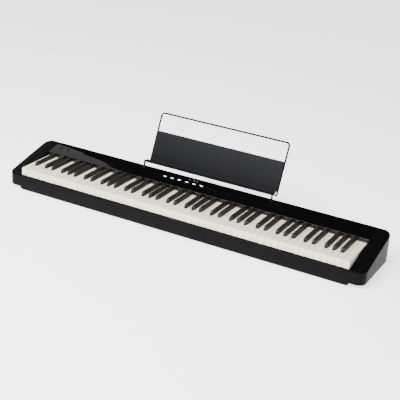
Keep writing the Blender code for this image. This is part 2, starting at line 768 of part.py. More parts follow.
def touch_controls():
    """Light guide and sensor board of the lit touch marks, hung under the top panel."""
    left = LIGHT_FIRST_X - LIGHT_GUIDE_MARGIN
    right = LIGHT_FIRST_X + (LIGHT_COUNT - 1) * LIGHT_PITCH + LIGHT_GUIDE_MARGIN
    top = -WALL / math.cos(DECK_TILT) - FIT
    low = (left, -LIGHT_GUIDE_DEPTH, top - LIGHT_GUIDE_HEIGHT)
    guide = box(low, (right, LIGHT_GUIDE_DEPTH, top))
    place("light_guide", guide, "light_guide", at=on_deck(0, 0), turn=DECK_TILT)
    board_top = top - LIGHT_GUIDE_HEIGHT - FIT
    half = TOUCH_BOARD_DEPTH / 2
    low = (button_x() - TOUCH_BOARD_MARGIN, -half, board_top - BOARD_THICKNESS)
    high = (right + TOUCH_BOARD_MARGIN, half, board_top)
    place("touch_board", box(low, high), "board", at=on_deck(0, 0), turn=DECK_TILT)


def speaker_y():
    return (KEY_FRONT_Y + NATURAL_HINGE_Y) / 2 - 10 * MM


def speakers():
    """Shallow drivers facing down through the slots of the lower case."""
    bay = FRAME_TOP_Z - FRAME_THICKNESS - FLOOR_Z
    height = bay - 2 * MM
    flange = 2.5 * MM
    cone = height * 0.5
    profile = [
        (0, 0),
        (SPEAKER_RADIUS * 0.55, 0),
        (SPEAKER_RADIUS * 0.55, height * 0.35),
        (SPEAKER_RADIUS * 0.48, height * 0.35),
        (SPEAKER_RADIUS * 0.90, height - flange),
        (SPEAKER_RADIUS, height - flange),
        (SPEAKER_RADIUS, height),
        (SPEAKER_RADIUS * 0.84, height),
        (SPEAKER_RADIUS * 0.30, height - cone),
        (SPEAKER_RADIUS * 0.15, height - cone * 0.75),
        (0, height - cone * 0.7),
    ]
    for side, name in ((-1, "left"), (1, "right")):
        at = (side * SPEAKER_X, speaker_y(), FLOOR_Z + FIT + height)
        place(f"speaker_{name}", turned(profile, 32), "paper_cone", at=at, turn=math.pi, smooth=True)


def boards():
    half = MAIN_BOARD_DEPTH / 2
    low = (MAIN_BOARD_X[0], speaker_y() - half, FLOOR_Z + FIT)
    high = (MAIN_BOARD_X[1], speaker_y() + half, FLOOR_Z + FIT + BOARD_THICKNESS)
    place("main_board", box(low, high), "board")
    top = JACK_HEIGHT - JACK_RADIUS - FIT
    right = JACK_FIRST_X + 4 * JACK_PITCH + JACK_BOARD_MARGIN
    front = REAR_Y - WALL - JACK_LENGTH - JACK_BOARD_LAP
    low = (JACK_FIRST_X - JACK_BOARD_MARGIN, front, top - BOARD_THICKNESS)
    high = (right, REAR_Y - WALL - MM, top)
    place("jack_board", box(low, high), "board")


def usb_x():
    return JACK_FIRST_X + 3 * JACK_PITCH


def round_jacks():
    """(name, x, collar radius, bore radius, pin radius) of the round sockets at the back."""
    return (
        ("phones_jack_1", JACK_FIRST_X, PHONES_COLLAR, PHONES_BORE, 0),
        ("phones_jack_2", JACK_FIRST_X + JACK_PITCH, PHONES_COLLAR, PHONES_BORE, 0),
        ("pedal_jack", JACK_FIRST_X + 2 * JACK_PITCH, PEDAL_COLLAR, PEDAL_BORE, 0),
        ("dc_inlet", JACK_FIRST_X + 4 * JACK_PITCH, DC_COLLAR, DC_BORE, DC_PIN),
    )


def jacks():
    """Sockets in line along the back, each a body behind the cover with a collar through it."""
    shoulder = -WALL - FIT
    back = shoulder - JACK_LENGTH + WALL
    proud = JACK_PROUD
    bore_floor = back + JACK_BASE
    for name, x, collar, bore, pin in round_jacks():
        profile = [
            (0, back),
            (JACK_RADIUS, back),
            (JACK_RADIUS, shoulder),
            (collar, shoulder),
            (collar, proud),
            (bore, proud),
            (bore, bore_floor),
        ]
        if pin:
            profile += [(pin, bore_floor), (pin, shoulder), (0, shoulder)]
        else:
            profile.append((0, bore_floor))
        at = (x, REAR_Y, JACK_HEIGHT)
        place(name, turned(profile), "jack", at=at, turn=-math.pi / 2, smooth=True)
    outer = [(-USB_HALF[0], -USB_HALF[1]), (USB_HALF[0], -USB_HALF[1])]
    outer += [(USB_HALF[0], USB_HALF[1]), (-USB_HALF[0], USB_HALF[1])]
    share = (USB_POCKET[0] / USB_HALF[0], USB_POCKET[1] / USB_HALF[1])
    inner = [(x * share[0], y * share[1]) for x, y in outer]
    bm = bmesh.new()
    loops = ((inner, bore_floor), (inner, proud), (outer, proud), (outer, back))
    stack(bm, [[(x, y, height) for x, y in loop] for loop, height in loops])
    place("usb_port", bm, "steel", at=(usb_x(), REAR_Y, JACK_HEIGHT), turn=-math.pi / 2)


# ---------------------------------------------------------------- music rest
def rest_sockets():
    """Blind bushes in the top panel that hold the two legs of the rest."""
    profile = [
        (0, -SOCKET_DEPTH - SOCKET_FLOOR),
        (SOCKET_RADIUS, -SOCKET_DEPTH - SOCKET_FLOOR),
        (SOCKET_RADIUS, SOCKET_PROUD),
        (SOCKET_BORE, SOCKET_PROUD),
        (SOCKET_BORE, -SOCKET_DEPTH),
        (0, -SOCKET_DEPTH),
    ]
    for side, name in ((-1, "left"), (1, "right")):
        at = (REST_CENTRE_X + side * REST_HALF_WIDTH, REST_LEG_Y, deck_height(REST_LEG_Y))
        place(f"rest_socket_{name}", turned(profile), "rubber", at=at, smooth=True)


def rest_up(distance):
    """A point of the leaning wire, measured up the slope from its back bend (Y and Z)."""
    y = REST_BACK_Y + distance * math.sin(REST_LEAN)
    z = REST_BACK_Z + distance * math.cos(REST_LEAN)
    return y, z


def rest_wire():
    """One bent wire: a leg, a step back, up one side, across, and down again."""
    leg_z = deck_height(REST_LEG_Y) - SOCKET_DEPTH + MM
    side = [(REST_LEG_Y, leg_z), (REST_LEG_Y, REST_LEG_TOP_Z), (REST_BACK_Y, REST_BACK_Z)]
    side.append(rest_up(REST_SLOPE_LENGTH))
    left = [(REST_CENTRE_X - REST_HALF_WIDTH, y, z) for y, z in side]
    right = [(REST_CENTRE_X + REST_HALF_WIDTH, y, z) for y, z in reversed(side)]
    radii = [REST_BEND_RADIUS, REST_BEND_RADIUS, REST_CORNER_RADIUS]
    path = rounded_path(left + right, radii + radii[::-1], 5)
    curve = bpy.data.curves.new("music_rest_wire", "CURVE")
    curve.dimensions = "3D"
    curve.bevel_depth = WIRE_RADIUS
    curve.bevel_resolution = 2
    curve.use_fill_caps = True
    spline = curve.splines.new("POLY")
    spline.points.add(len(path) - 1)
    origin = Vector((0, REST_LEG_Y, deck_height(REST_LEG_Y)))
    for point, target in zip(spline.points, path):
        point.co = (*(target - origin), 1)
    curve.materials.append(finish("rest_wire"))
    item = bpy.data.objects.new("music_rest_wire", curve)
    item.location = origin
    bpy.context.scene.collection.objects.link(item)


def rest_bar():
    """Straight rod between the two legs where they bend back."""
    half_angle = (math.pi / 2 - REST_RUN_TILT) / 2
    inset = REST_BEND_RADIUS * (1 / math.sin(half_angle) - 1)
    y = REST_LEG_Y + inset * math.sin(half_angle)
    z = REST_LEG_TOP_Z - inset * math.cos(half_angle)
    half = REST_HALF_WIDTH - WIRE_RADIUS - FIT
    profile = [(0, -half), (WIRE_RADIUS, -half), (WIRE_RADIUS, half), (0, half)]
    bm = turned(profile, 12)
    bmesh.ops.rotate(bm, verts=bm.verts, matrix=Matrix.Rotation(math.pi / 2, 3, "Y"))
    place("music_rest_bar", bm, "rest_wire", at=(REST_CENTRE_X, y, z), smooth=True)


def rest_panel():
    """Bent sheet in front of the wire: a leaning back, a folded tray and a low lip."""
    forward = WIRE_RADIUS + FIT + REST_SHEET / 2

    def before_wire(distance):
        y, z = rest_up(distance)
        return (y - forward * math.cos(REST_LEAN), z + forward * math.sin(REST_LEAN), 0)

    fold = before_wire(REST_PANEL_START)
    edge = (
        fold[0] - REST_TRAY_DEPTH * math.cos(REST_TRAY_TILT),
        fold[1] + REST_TRAY_DEPTH * math.sin(REST_TRAY_TILT),
        0,
    )
    lip = (
        edge[0] + REST_LIP_HEIGHT * math.sin(REST_TRAY_TILT),
        edge[1] + REST_LIP_HEIGHT * math.cos(REST_TRAY_TILT),
        0,
    )
    corners = [before_wire(REST_PANEL_START + REST_PANEL_HEIGHT), fold, edge, lip]
    path = rounded_path(corners, [REST_FOLD_RADIUS, REST_LIP_RADIUS], 4)
    tray_half = REST_HALF_WIDTH - WIRE_RADIUS - 2 * FIT
    bm = bmesh.new()
    front_rows = []
    back_rows = []
    for i, point in enumerate(path):
        ahead = path[min(i + 1, len(path) - 1)] - path[max(i - 1, 0)]
        normal = Vector((-ahead.y, ahead.x, 0)).normalized() * REST_SHEET / 2
        half = REST_HALF_WIDTH if i < 2 else tray_half
        for rows, where in ((front_rows, point + normal), (back_rows, point - normal)):
            ends = (REST_CENTRE_X - half, REST_CENTRE_X + half)
            rows.append([bm.verts.new((x, where.x, where.y)) for x in ends])
    for rows in (front_rows, back_rows):
        for low, high in zip(rows, rows[1:]):
            bm.faces.new((low[0], low[1], high[1], high[0]))
    for i in range(len(path) - 1):
        for side in (0, 1):
            quad = (front_rows[i][side], front_rows[i + 1][side], back_rows[i + 1][side], back_rows[i][side])
            bm.faces.new(quad)
    for i in (0, -1):
        bm.faces.new((front_rows[i][0], front_rows[i][1], back_rows[i][1], back_rows[i][0]))
    place("music_rest_panel", bm, "rest_sheet", smooth=True)


def main():
    clear_scene()
    lower_case()
    end_block("left_end_block", -1)
    end_block("right_end_block", 1)
    front_rail()
    top_panel()
    rear_cover()
    feet()
    keyboard()
    key_felt()
    key_frame()
    power_button()
    volume_dial()
    touch_controls()
    speakers()
    boards()
    jacks()
    rest_sockets()
    rest_wire()
    rest_bar()
    rest_panel()


main()
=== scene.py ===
"""Looks of a slab digital piano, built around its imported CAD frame."""
import json
import math

import bmesh
import bpy
from mathutils import Matrix, Vector

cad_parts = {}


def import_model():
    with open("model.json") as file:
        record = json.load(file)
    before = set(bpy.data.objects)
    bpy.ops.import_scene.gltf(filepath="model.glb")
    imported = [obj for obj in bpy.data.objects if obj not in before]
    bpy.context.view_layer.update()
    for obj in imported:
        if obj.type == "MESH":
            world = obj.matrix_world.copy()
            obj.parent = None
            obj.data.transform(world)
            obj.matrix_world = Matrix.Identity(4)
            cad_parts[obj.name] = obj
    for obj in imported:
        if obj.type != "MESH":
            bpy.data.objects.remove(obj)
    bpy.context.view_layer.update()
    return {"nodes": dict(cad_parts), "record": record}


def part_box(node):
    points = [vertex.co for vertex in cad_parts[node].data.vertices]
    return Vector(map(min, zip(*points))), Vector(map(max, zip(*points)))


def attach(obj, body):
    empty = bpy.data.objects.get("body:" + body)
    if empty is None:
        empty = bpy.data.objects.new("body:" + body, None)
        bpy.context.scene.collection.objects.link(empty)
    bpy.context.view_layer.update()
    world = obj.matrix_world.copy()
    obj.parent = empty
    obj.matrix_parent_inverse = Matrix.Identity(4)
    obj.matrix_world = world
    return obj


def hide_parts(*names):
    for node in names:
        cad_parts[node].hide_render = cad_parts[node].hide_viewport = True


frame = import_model()

MM = 0.001
QUARTER = math.pi / 2


def low(node):
    """Lowest corner of a node's box."""
    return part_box(node)[0]


def high(node):
    """Highest corner of a node's box."""
    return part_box(node)[1]


# ---------------------------------------------------------------- places from the frame
RIGHT_X = high("right_end_block").x
FRONT_Y = low("right_end_block").y
REAR_Y = high("right_end_block").y
BLOCK_INNER_X = low("right_end_block").x
SPAN_HALF = high("front_rail").x
BLOCK_BOTTOM_Z = low("right_end_block").z
RAIL_BACK_Y = high("front_rail").y
DECK_SLOPE = (high("top_panel").z - high("front_rail").z) / (REAR_Y - RAIL_BACK_Y)
DECK_TILT = math.atan(DECK_SLOPE)
PANEL_FRONT_Y = low("top_panel").y
LIP_BOTTOM_Z = low("top_panel").z
KEY_FRONT_Y = low("naturals_octave_0").y
KEY_REAR_Y = high("naturals_octave_0").y
KEY_BOTTOM_Z = low("naturals_octave_0").z
KEY_TOP_Z = high("naturals_octave_0").z
SHARP_FRONT_Y = low("sharps_octave_0").y
SHARP_TOP_Z = high("sharps_octave_0").z
FELT_FRONT_Y = low("key_felt").y


def deck_height(y):
    """Height of the sloping top of the case at depth y."""
    return high("front_rail").z + DECK_SLOPE * (y - RAIL_BACK_Y)


# ---------------------------------------------------------------- sizes of the details
CORNER_RADIUS = 28 * MM
TOP_EDGE_RADIUS = 2 * MM
WALL = 3 * MM
PANEL_LIP = 2.5 * MM
CUT_REACH = 12 * MM
KEY_GAP = 1 * MM
KEY_WALL = 2 * MM
KEY_EDGE = 0.8 * MM
SHARP_SIDE_GAP = 0.8 * MM
SHARP_FRONT_GAP = 2.6 * MM
SHARP_TOP_WIDTH = 10.2 * MM
SHARP_FRONT_SLOPE = 5 * MM
SHARP_EDGE = 1.5 * MM
NATURAL_COUNT = 52
SHARP_GROUPS = ((0, 3, "CD"), (3, 4, "FGA"))
DIAL_RADIUS = 8 * MM
DIAL_WIDTH = 5 * MM
DIAL_SINK = 6.4 * MM
DIAL_RIBS = 40
DIAL_GROOVE = 0.045  # of the radius
BUTTON_RADIUS = 4.5 * MM
PRINT_THICKNESS = 0.1 * MM
PRINT_EASE = 0.08 * MM
MARK_COUNT = 6
MARK_FIRST_X = -146 * MM
MARK_PITCH = 28.6 * MM
MARK_HALF_LENGTH = 5.6 * MM
MARK_HALF_WIDTH = 1.6 * MM
MARK_CORNER = 0.8 * MM
SIGNED_MARKS = (1, 2, 5)  # these have a small sign above their left end
SIGN_HALF_LENGTH = 1.2 * MM
SIGN_HALF_WIDTH = 1.0 * MM
SIGN_CORNER = 0.5 * MM
SIGN_PLACE = (-4.0 * MM, 3.0 * MM)
DOT_SETBACK = 17 * MM
DOTS_X = (-57 * MM, -40 * MM, -29 * MM)
DOT_HALF_WIDTH = 1.6 * MM
DOT_CORNER = 1.2 * MM
SCREW_COUNT = 6
SCREW_PITCH = 200 * MM
SCREW_FROM_EDGE = 14 * MM
FOOT_DISH = 0.5 * MM
FOOT_RIM = 1.2 * MM
ROUND_JACKS = (  # node, radius of the collar, radius of the bore
    ("phones_jack_1", 4.0 * MM, 1.9 * MM),
    ("phones_jack_2", 4.0 * MM, 1.9 * MM),
    ("pedal_jack", 5.6 * MM, 3.3 * MM),
    ("dc_inlet", 4.8 * MM, 3.2 * MM),
)
INLET_PIN_RADIUS = 1.0 * MM
CONTACT_DEPTH = 4 * MM
BORE_END = 3 * MM
REST_LEAN = math.radians(23)
REST_TRAY_TILT = math.radians(13)
REST_RUN_TILT = math.radians(28.5)
REST_LEG_RISE = 25 * MM
REST_BACK_RUN = 43 * MM
REST_SLOPE_LENGTH = 180.4 * MM
REST_BEND_RADIUS = 4 * MM
REST_CORNER_RADIUS = 11 * MM
REST_PANEL_START = 8 * MM
REST_PANEL_HEIGHT = 108 * MM
REST_SHEET = 2.5 * MM
REST_SHEET_EDGE = 0.7 * MM
REST_TRAY_DEPTH = 31 * MM
REST_FOLD_RADIUS = 7 * MM
REST_LIP_HEIGHT = 7 * MM
REST_LIP_RADIUS = 2.5 * MM
WIRE_DOME = 0.4 * MM
SOCKET_DEPTH = 17.5 * MM
SOCKET_EDGE = 0.5 * MM
SOCKET_CHAMFER = 0.4 * MM
FIT = 0.3 * MM


# ---------------------------------------------------------------- places of the controls and the rest
JOINTS = {joint["name"]: joint for joint in frame["record"]["behaviour"]["joints"]}
DIAL_CENTRE = Vector(JOINTS["volume_dial_turn"]["pos_m"])
CONTROL_Y = DIAL_CENTRE.y - DIAL_SINK * math.sin(DECK_TILT)
BUTTON_X = (low("power_button").x + high("power_button").x) / 2
WIRE_RADIUS = (high("music_rest_bar").z - low("music_rest_bar").z) / 2
REST_LEG_Y = low("music_rest_wire").y + WIRE_RADIUS
REST_CENTRE_X = (low("music_rest_wire").x + high("music_rest_wire").x) / 2
REST_HALF_WIDTH = high("music_rest_wire").x - REST_CENTRE_X - WIRE_RADIUS
LEG_PLACES = [
    Vector((REST_CENTRE_X + side * REST_HALF_WIDTH, REST_LEG_Y, deck_height(REST_LEG_Y)))
    for side in (-1, 1)
]
REST_LEG_TOP = Vector((REST_LEG_Y, deck_height(REST_LEG_Y) + REST_LEG_RISE))
REST_BACK = REST_LEG_TOP + REST_BACK_RUN * Vector((math.cos(REST_RUN_TILT), -math.sin(REST_RUN_TILT)))


def on_deck(x, y):
    """Placement on the sloping deck, its Z along the deck's normal."""
    return Matrix.Translation((x, y, deck_height(y))) @ Matrix.Rotation(DECK_TILT, 4, "X")


def jack_place(name):
    """Placement of a socket at the back, its Z pointing out of the case."""
    centre = (low(name) + high(name)) / 2
    return Matrix.Translation((centre.x, REAR_Y, centre.z)) @ Matrix.Rotation(-QUARTER, 4, "X")


def rest_up(distance):
    """A point of the leaning wire, measured up the slope from its back bend (Y and Z)."""
    return REST_BACK + distance * Vector((math.sin(REST_LEAN), math.cos(REST_LEAN)))


# ---------------------------------------------------------------- materials
class Look:
    """A Principled material under construction."""

    def __init__(self, name, colour, roughness, metallic=0.0, **sockets):
        self.material = bpy.data.materials.new(name)
        self.material.use_nodes = True
        self.nodes = self.material.node_tree.nodes
        self.links = self.material.node_tree.links
        self.shader = self.nodes["Principled BSDF"]
        self.set("Base Color", (*colour, 1))
        self.set("Roughness", roughness)
        self.set("Metallic", metallic)
        for socket, value in sockets.items():
            self.set(socket.replace("_", " "), value)
        self.normal = None
        self.place = self.nodes.new("ShaderNodeTexCoord").outputs["Object"]

    def set(self, socket, value):
        self.shader.inputs[socket].default_value = value

    def stretched(self, scale):
        """Texture space drawn out by different scales along the three axes."""
        mapping = self.nodes.new("ShaderNodeMapping")
        mapping.inputs["Scale"].default_value = scale
        self.links.new(self.place, mapping.inputs["Vector"])
        return mapping.outputs["Vector"]

    def noise(self, size, detail=3.0, rough=0.55, stretch=None):
        """Fractal noise with features of about the given size."""
        node = self.nodes.new("ShaderNodeTexNoise")
        node.inputs["Scale"].default_value = 1 / size
        node.inputs["Detail"].default_value = detail
        node.inputs["Roughness"].default_value = rough
        where = self.stretched(stretch) if stretch else self.place
        self.links.new(where, node.inputs["Vector"])
        return node.outputs["Fac"]

    def cells(self, size, stretch=None):
        """Distance to the nearest of scattered points, the given size apart."""
        node = self.nodes.new("ShaderNodeTexVoronoi")
        node.inputs["Scale"].default_value = 1 / size
        where = self.stretched(stretch) if stretch else self.place
        self.links.new(where, node.inputs["Vector"])
        return node.outputs["Distance"]

    def ramp(self, value, stops):
        """A value turned into a colour by stops of position and colour."""
        node = self.nodes.new("ShaderNodeValToRGB")
        points = node.color_ramp.elements
        while len(points) < len(stops):
            points.new(0.5)
        for point, (position, colour) in zip(points, stops):
            point.position = position
            point.color = (*colour, 1)
        self.links.new(value, node.inputs["Fac"])
        return node.outputs["Color"]

    def spread(self, value, lowest, highest):
        """The middle range of a noise, drawn out from lowest to highest."""
        node = self.nodes.new("ShaderNodeMapRange")
        node.inputs["From Min"].default_value = 0.3
        node.inputs["From Max"].default_value = 0.7
        node.inputs["To Min"].default_value = lowest
        node.inputs["To Max"].default_value = highest
        self.links.new(value, node.inputs["Value"])
        return node.outputs["Result"]

    def colour(self, value, *stops):
        self.links.new(self.ramp(value, stops), self.shader.inputs["Base Color"])

    def roughness(self, value, lowest, highest):
        self.links.new(self.spread(value, lowest, highest), self.shader.inputs["Roughness"])

    def bump(self, value, depth):
        """Adds relief of the given depth, on top of any relief added before."""
        node = self.nodes.new("ShaderNodeBump")
        node.inputs["Distance"].default_value = depth
        self.links.new(value, node.inputs["Height"])
        if self.normal:
            self.links.new(self.normal, node.inputs["Normal"])
        self.normal = node.outputs["Normal"]
        self.links.new(self.normal, self.shader.inputs["Normal"])


def shade(colour, factor):
    """A lighter or darker version of a colour."""
    return tuple(channel * factor for channel in colour)


def moulded(name, colour, roughness, grain=0.5 * MM, depth=0.02 * MM, gloss=0.2):
    """Moulded plastic: a spark-eroded grain, soft blotches and slightly uneven gloss."""
    look = Look(name, colour, roughness, Specular_IOR_Level=gloss)
    blotch = look.noise(60 * MM, 4)
    look.colour(blotch, (0.3, shade(colour, 0.88)), (0.7, shade(colour, 1.12)))
    look.roughness(look.noise(25 * MM, 5), roughness - 0.05, roughness + 0.05)
    look.bump(look.noise(grain, 2), depth)
    return look.material


def gloss_black():
    """Polished black panel with a trace of wiping marks and an all but flat surface."""
    colour = (0.0015, 0.0015, 0.0017)
    look = Look("panel_gloss", colour, 0.06, IOR=1.5)
    wipes = look.noise(35 * MM, 6, 0.6, stretch=(0.35, 1, 1))
    look.colour(wipes, (0.3, shade(colour, 0.9)), (0.7, shade(colour, 1.25)))
    look.roughness(wipes, 0.02, 0.04)
    look.bump(look.noise(90 * MM, 1), 0.005 * MM)
    return look.material


def ivory():
    """Off-white key top with a fine grain drawn out along the key."""
    pale = (0.79, 0.735, 0.57)
    look = Look("key_ivory", pale, 0.46)
    streaks = look.noise(2.2 * MM, 4, 0.6, stretch=(1, 0.12, 1))
    look.colour(streaks, (0.25, shade(pale, 0.965)), (0.75, shade(pale, 1.02)))
    look.roughness(streaks, 0.40, 0.52)
    look.bump(look.noise(0.5 * MM, 2, stretch=(1, 0.45, 1)), 0.03 * MM)
    look.bump(streaks, 0.03 * MM)
    return look.material


def ebony():
    """Dark grey-brown key with open pores along its length."""
    dark = (0.0085, 0.0082, 0.0072)
    look = Look("key_ebony", dark, 0.5, Specular_IOR_Level=0.3)
    pores = look.noise(1.4 * MM, 5, 0.65, stretch=(1, 0.07, 1))
    look.colour(pores, (0.3, shade(dark, 0.7)), (0.55, dark), (0.8, shade(dark, 1.7)))
    look.roughness(pores, 0.44, 0.60)
    look.bump(pores, 0.08 * MM)
    look.bump(look.noise(0.5 * MM, 2), 0.02 * MM)
    return look.material


def felt(name, colour, sheen):
    """Pressed wool: matt, mottled and fibrous."""
    look = Look(name, colour, 0.95, Sheen_Weight=sheen, Sheen_Roughness=0.6, Specular_IOR_Level=0.2)
    fibres = look.noise(0.9 * MM, 6, 0.7, stretch=(0.5, 1, 1))
    look.colour(fibres, (0.3, shade(colour, 0.55)), (0.7, shade(colour, 1.35)))
    look.bump(fibres, 0.35 * MM)
    return look.material


def rest_sheet():
    """Slate grey sheet of the music rest, with a fine leathery grain."""
    slate = (0.0042, 0.0042, 0.0062)
    look = Look("rest_sheet", slate, 0.5, Specular_IOR_Level=0.07)
    blotch = look.noise(80 * MM, 3)
    look.colour(blotch, (0.3, shade(slate, 0.93)), (0.7, shade(slate, 1.07)))
    look.roughness(look.noise(18 * MM, 4), 0.44, 0.54)
    look.bump(look.cells(0.9 * MM), 0.03 * MM)
    return look.material


def powder_coat():
    """Wire with a thin orange-peel coat."""
    colour = (0.0015, 0.0015, 0.0016)
    look = Look("rest_wire", colour, 0.4, Specular_IOR_Level=0.06)
    peel = look.noise(1.2 * MM, 2)
    look.colour(peel, (0.3, shade(colour, 0.85)), (0.7, shade(colour, 1.2)))
    look.roughness(look.noise(12 * MM, 4), 0.35, 0.47)
    look.bump(peel, 0.04 * MM)
    return look.material


def brushed(name, colour, along):
    """Sheet steel with fine lines along one axis."""
    look = Look(name, colour, 0.32, metallic=1.0)
    stretch = tuple(0.02 if axis == along else 1 for axis in range(3))
    lines = look.noise(0.6 * MM, 5, 0.6, stretch=stretch)
    look.colour(lines, (0.3, shade(colour, 0.85)), (0.7, shade(colour, 1.1)))
    look.roughness(lines, 0.26, 0.42)
    look.bump(lines, 0.01 * MM)
    return look.material


def circuit_board():
    """Green board with paler copper paths under the varnish."""
    green = (0.012, 0.085, 0.035)
    look = Look("board", green, 0.35)
    paths = look.cells(3.5 * MM, stretch=(1, 1, 0.1))
    look.colour(paths, (0.35, green), (0.42, (0.03, 0.16, 0.07)), (0.5, green))
    look.roughness(paths, 0.28, 0.4)
    look.bump(paths, 0.03 * MM)
    return look.material


def paper_cone():
    """Pressed paper with a loose fibre texture."""
    colour = (0.018, 0.018, 0.018)
    look = Look("paper_cone", colour, 0.8)
    fibres = look.noise(2 * MM, 6, 0.7)
    look.colour(fibres, (0.3, shade(colour, 0.7)), (0.7, shade(colour, 1.5)))
    look.bump(fibres, 0.15 * MM)
    return look.material


def lit(name, colour, strength):
    """A lit mark, a little brighter in its middle than where the light thins out."""
    look = Look(name, colour, 0.3, Emission_Strength=strength)
    patches = look.noise(4 * MM, 2)
    warm = look.ramp(patches, ((0.3, shade(colour, 0.85)), (0.7, colour)))
    look.links.new(warm, look.shader.inputs["Base Color"])
    look.links.new(warm, look.shader.inputs["Emission Color"])
    return look.material


MATERIALS = {
    "case_satin": moulded("case_satin", (0.0021, 0.0021, 0.0023), 0.42, gloss=0.05),
    "panel_gloss": gloss_black(),
    "base_matte": moulded("base_matte", (0.002, 0.002, 0.002), 0.62, 0.9 * MM, 0.05 * MM, 0.06),
    "key_ivory": ivory(),
    "key_ebony": ebony(),
    # painted shade: the red felt's base colour is made near black to stand in for the shade under the
    # panel lip
    "red_felt": felt("red_felt", (0.030, 0.003, 0.003), 0.1),
    "grey_felt": felt("grey_felt", (0.12, 0.12, 0.12), 0.5),
    "rest_sheet": rest_sheet(),
    "rest_wire": powder_coat(),
    "rubber": moulded("rubber", (0.013, 0.013, 0.013), 0.82, 0.7 * MM, 0.06 * MM),
    "steel": brushed("steel", (0.50, 0.50, 0.51), 0),
    "board": circuit_board(),
    "jack": moulded("jack", (0.016, 0.016, 0.016), 0.42),
    "paper_cone": paper_cone(),
    "light_guide": lit("light_guide", (0.75, 0.78, 0.80), 0.2),
    "touch_mark": lit("touch_mark", (0.92, 0.95, 1.0), 2.6),
    # painted glow: the unlit dots get a faint emission though no lamp lights them
    "dim_mark": lit("dim_mark", (0.30, 0.30, 0.30), 0.12),
}


# ---------------------------------------------------------------- making pieces
def piece(name, bm, look, body, nodes=(), smooth=40):
    """Make a piece of a closed mesh, ride it on its body and hide the nodes it stands for."""
    bmesh.ops.remove_doubles(bm, verts=bm.verts, dist=1e-6)
    bmesh.ops.recalc_face_normals(bm, faces=bm.faces)
    mesh = bpy.data.meshes.new(name)
    bm.to_mesh(mesh)
    bm.free()
    mesh.materials.append(MATERIALS[look])
    mesh.shade_smooth()
    mesh.set_sharp_from_angle(angle=math.radians(smooth))
    item = bpy.data.objects.new(name, mesh)
    bpy.context.scene.collection.objects.link(item)
    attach(item, body)
    if nodes:
        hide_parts(*nodes)


def circle(count):
    """Points of a unit circle."""
    turns = [2 * math.pi * i / count for i in range(count)]
    return [(math.cos(angle), math.sin(angle)) for angle in turns]


def bridge(bm, lower, upper):
    """Faces between two closed rings of as many vertices."""
    for i in range(len(lower)):
        j = (i + 1) % len(lower)
        bm.faces.new((lower[i], lower[j], upper[j], upper[i]))


def stack(bm, loops):
    """Closed skin over a stack of loops, each a list of points, capped at both ends."""
    rings = [[bm.verts.new(point) for point in loop] for loop in loops]
    for lower, upper in zip(rings, rings[1:]):
        bridge(bm, lower, upper)
    bm.faces.new(list(reversed(rings[0])))
    bm.faces.new(rings[-1])
    return rings


def bevel(bm, edges, width, segments=3):
    """Round edges over with an arc of the given width."""
    bmesh.ops.bevel(
        bm,
        geom=edges,
        offset=width,
        segments=segments,
        profile=0.5,
        affect="EDGES",
        clamp_overlap=True,
    )


def arc_points(centre, radius, start, end, steps):
    """Points of an arc in a plane, both ends among them."""
    points = []
    for i in range(steps + 1):
        angle = start + (end - start) * i / steps
        points.append((centre[0] + radius * math.cos(angle), centre[1] + radius * math.sin(angle)))
    return points


def rounded(points, radii, steps, closed=False):
    """Replace the corners of a path with arcs; a radius of 0 leaves a corner as it is."""
    count = len(points)
    points = [Vector(point) for point in points]
    path = []
    for i, corner in enumerate(points):
        radius = radii[i]
        if radius == 0 or (not closed and i in (0, count - 1)):
            path.append(corner)
            continue
        back = (points[i - 1] - corner).normalized()
        ahead = (points[(i + 1) % count] - corner).normalized()
        half = back.angle(ahead) / 2
        middle = corner + (back + ahead).normalized() * radius / math.sin(half)
        first = corner + back * radius / math.tan(half) - middle
        last = corner + ahead * radius / math.tan(half) - middle
        for step in range(steps + 1):
            share = step / steps
            path.append(middle + first.normalized().slerp(last.normalized(), share) * radius)
    return path


def bar_along_x(profile, left, right, steps=1):
    """A closed profile in Y and Z drawn out along X."""
    bm = bmesh.new()
    places = [left + (right - left) * i / steps for i in range(steps + 1)]
    stack(bm, [[(x, y, z) for y, z in profile] for x in places])
    return bm


def turned(bm, profile, where, segments=48):
    """A solid of revolution about local Z, set down by a matrix.

    The profile is a list of radii and heights that starts and ends on the axis.
    """
    bottom = bm.verts.new(where @ Vector((0, 0, profile[0][1])))
    top = bm.verts.new(where @ Vector((0, 0, profile[-1][1])))
    rings = []
    for radius, height in profile[1:-1]:
        ring = []
        for i in range(segments):
            angle = 2 * math.pi * i / segments
            point = Vector((radius * math.cos(angle), radius * math.sin(angle), height))
            ring.append(bm.verts.new(where @ point))
        rings.append(ring)
    for lower, upper in zip(rings, rings[1:]):
        bridge(bm, lower, upper)
    for i in range(segments):
        j = (i + 1) % segments
        bm.faces.new((bottom, rings[0][j], rings[0][i]))
        bm.faces.new((top, rings[-1][i], rings[-1][j]))


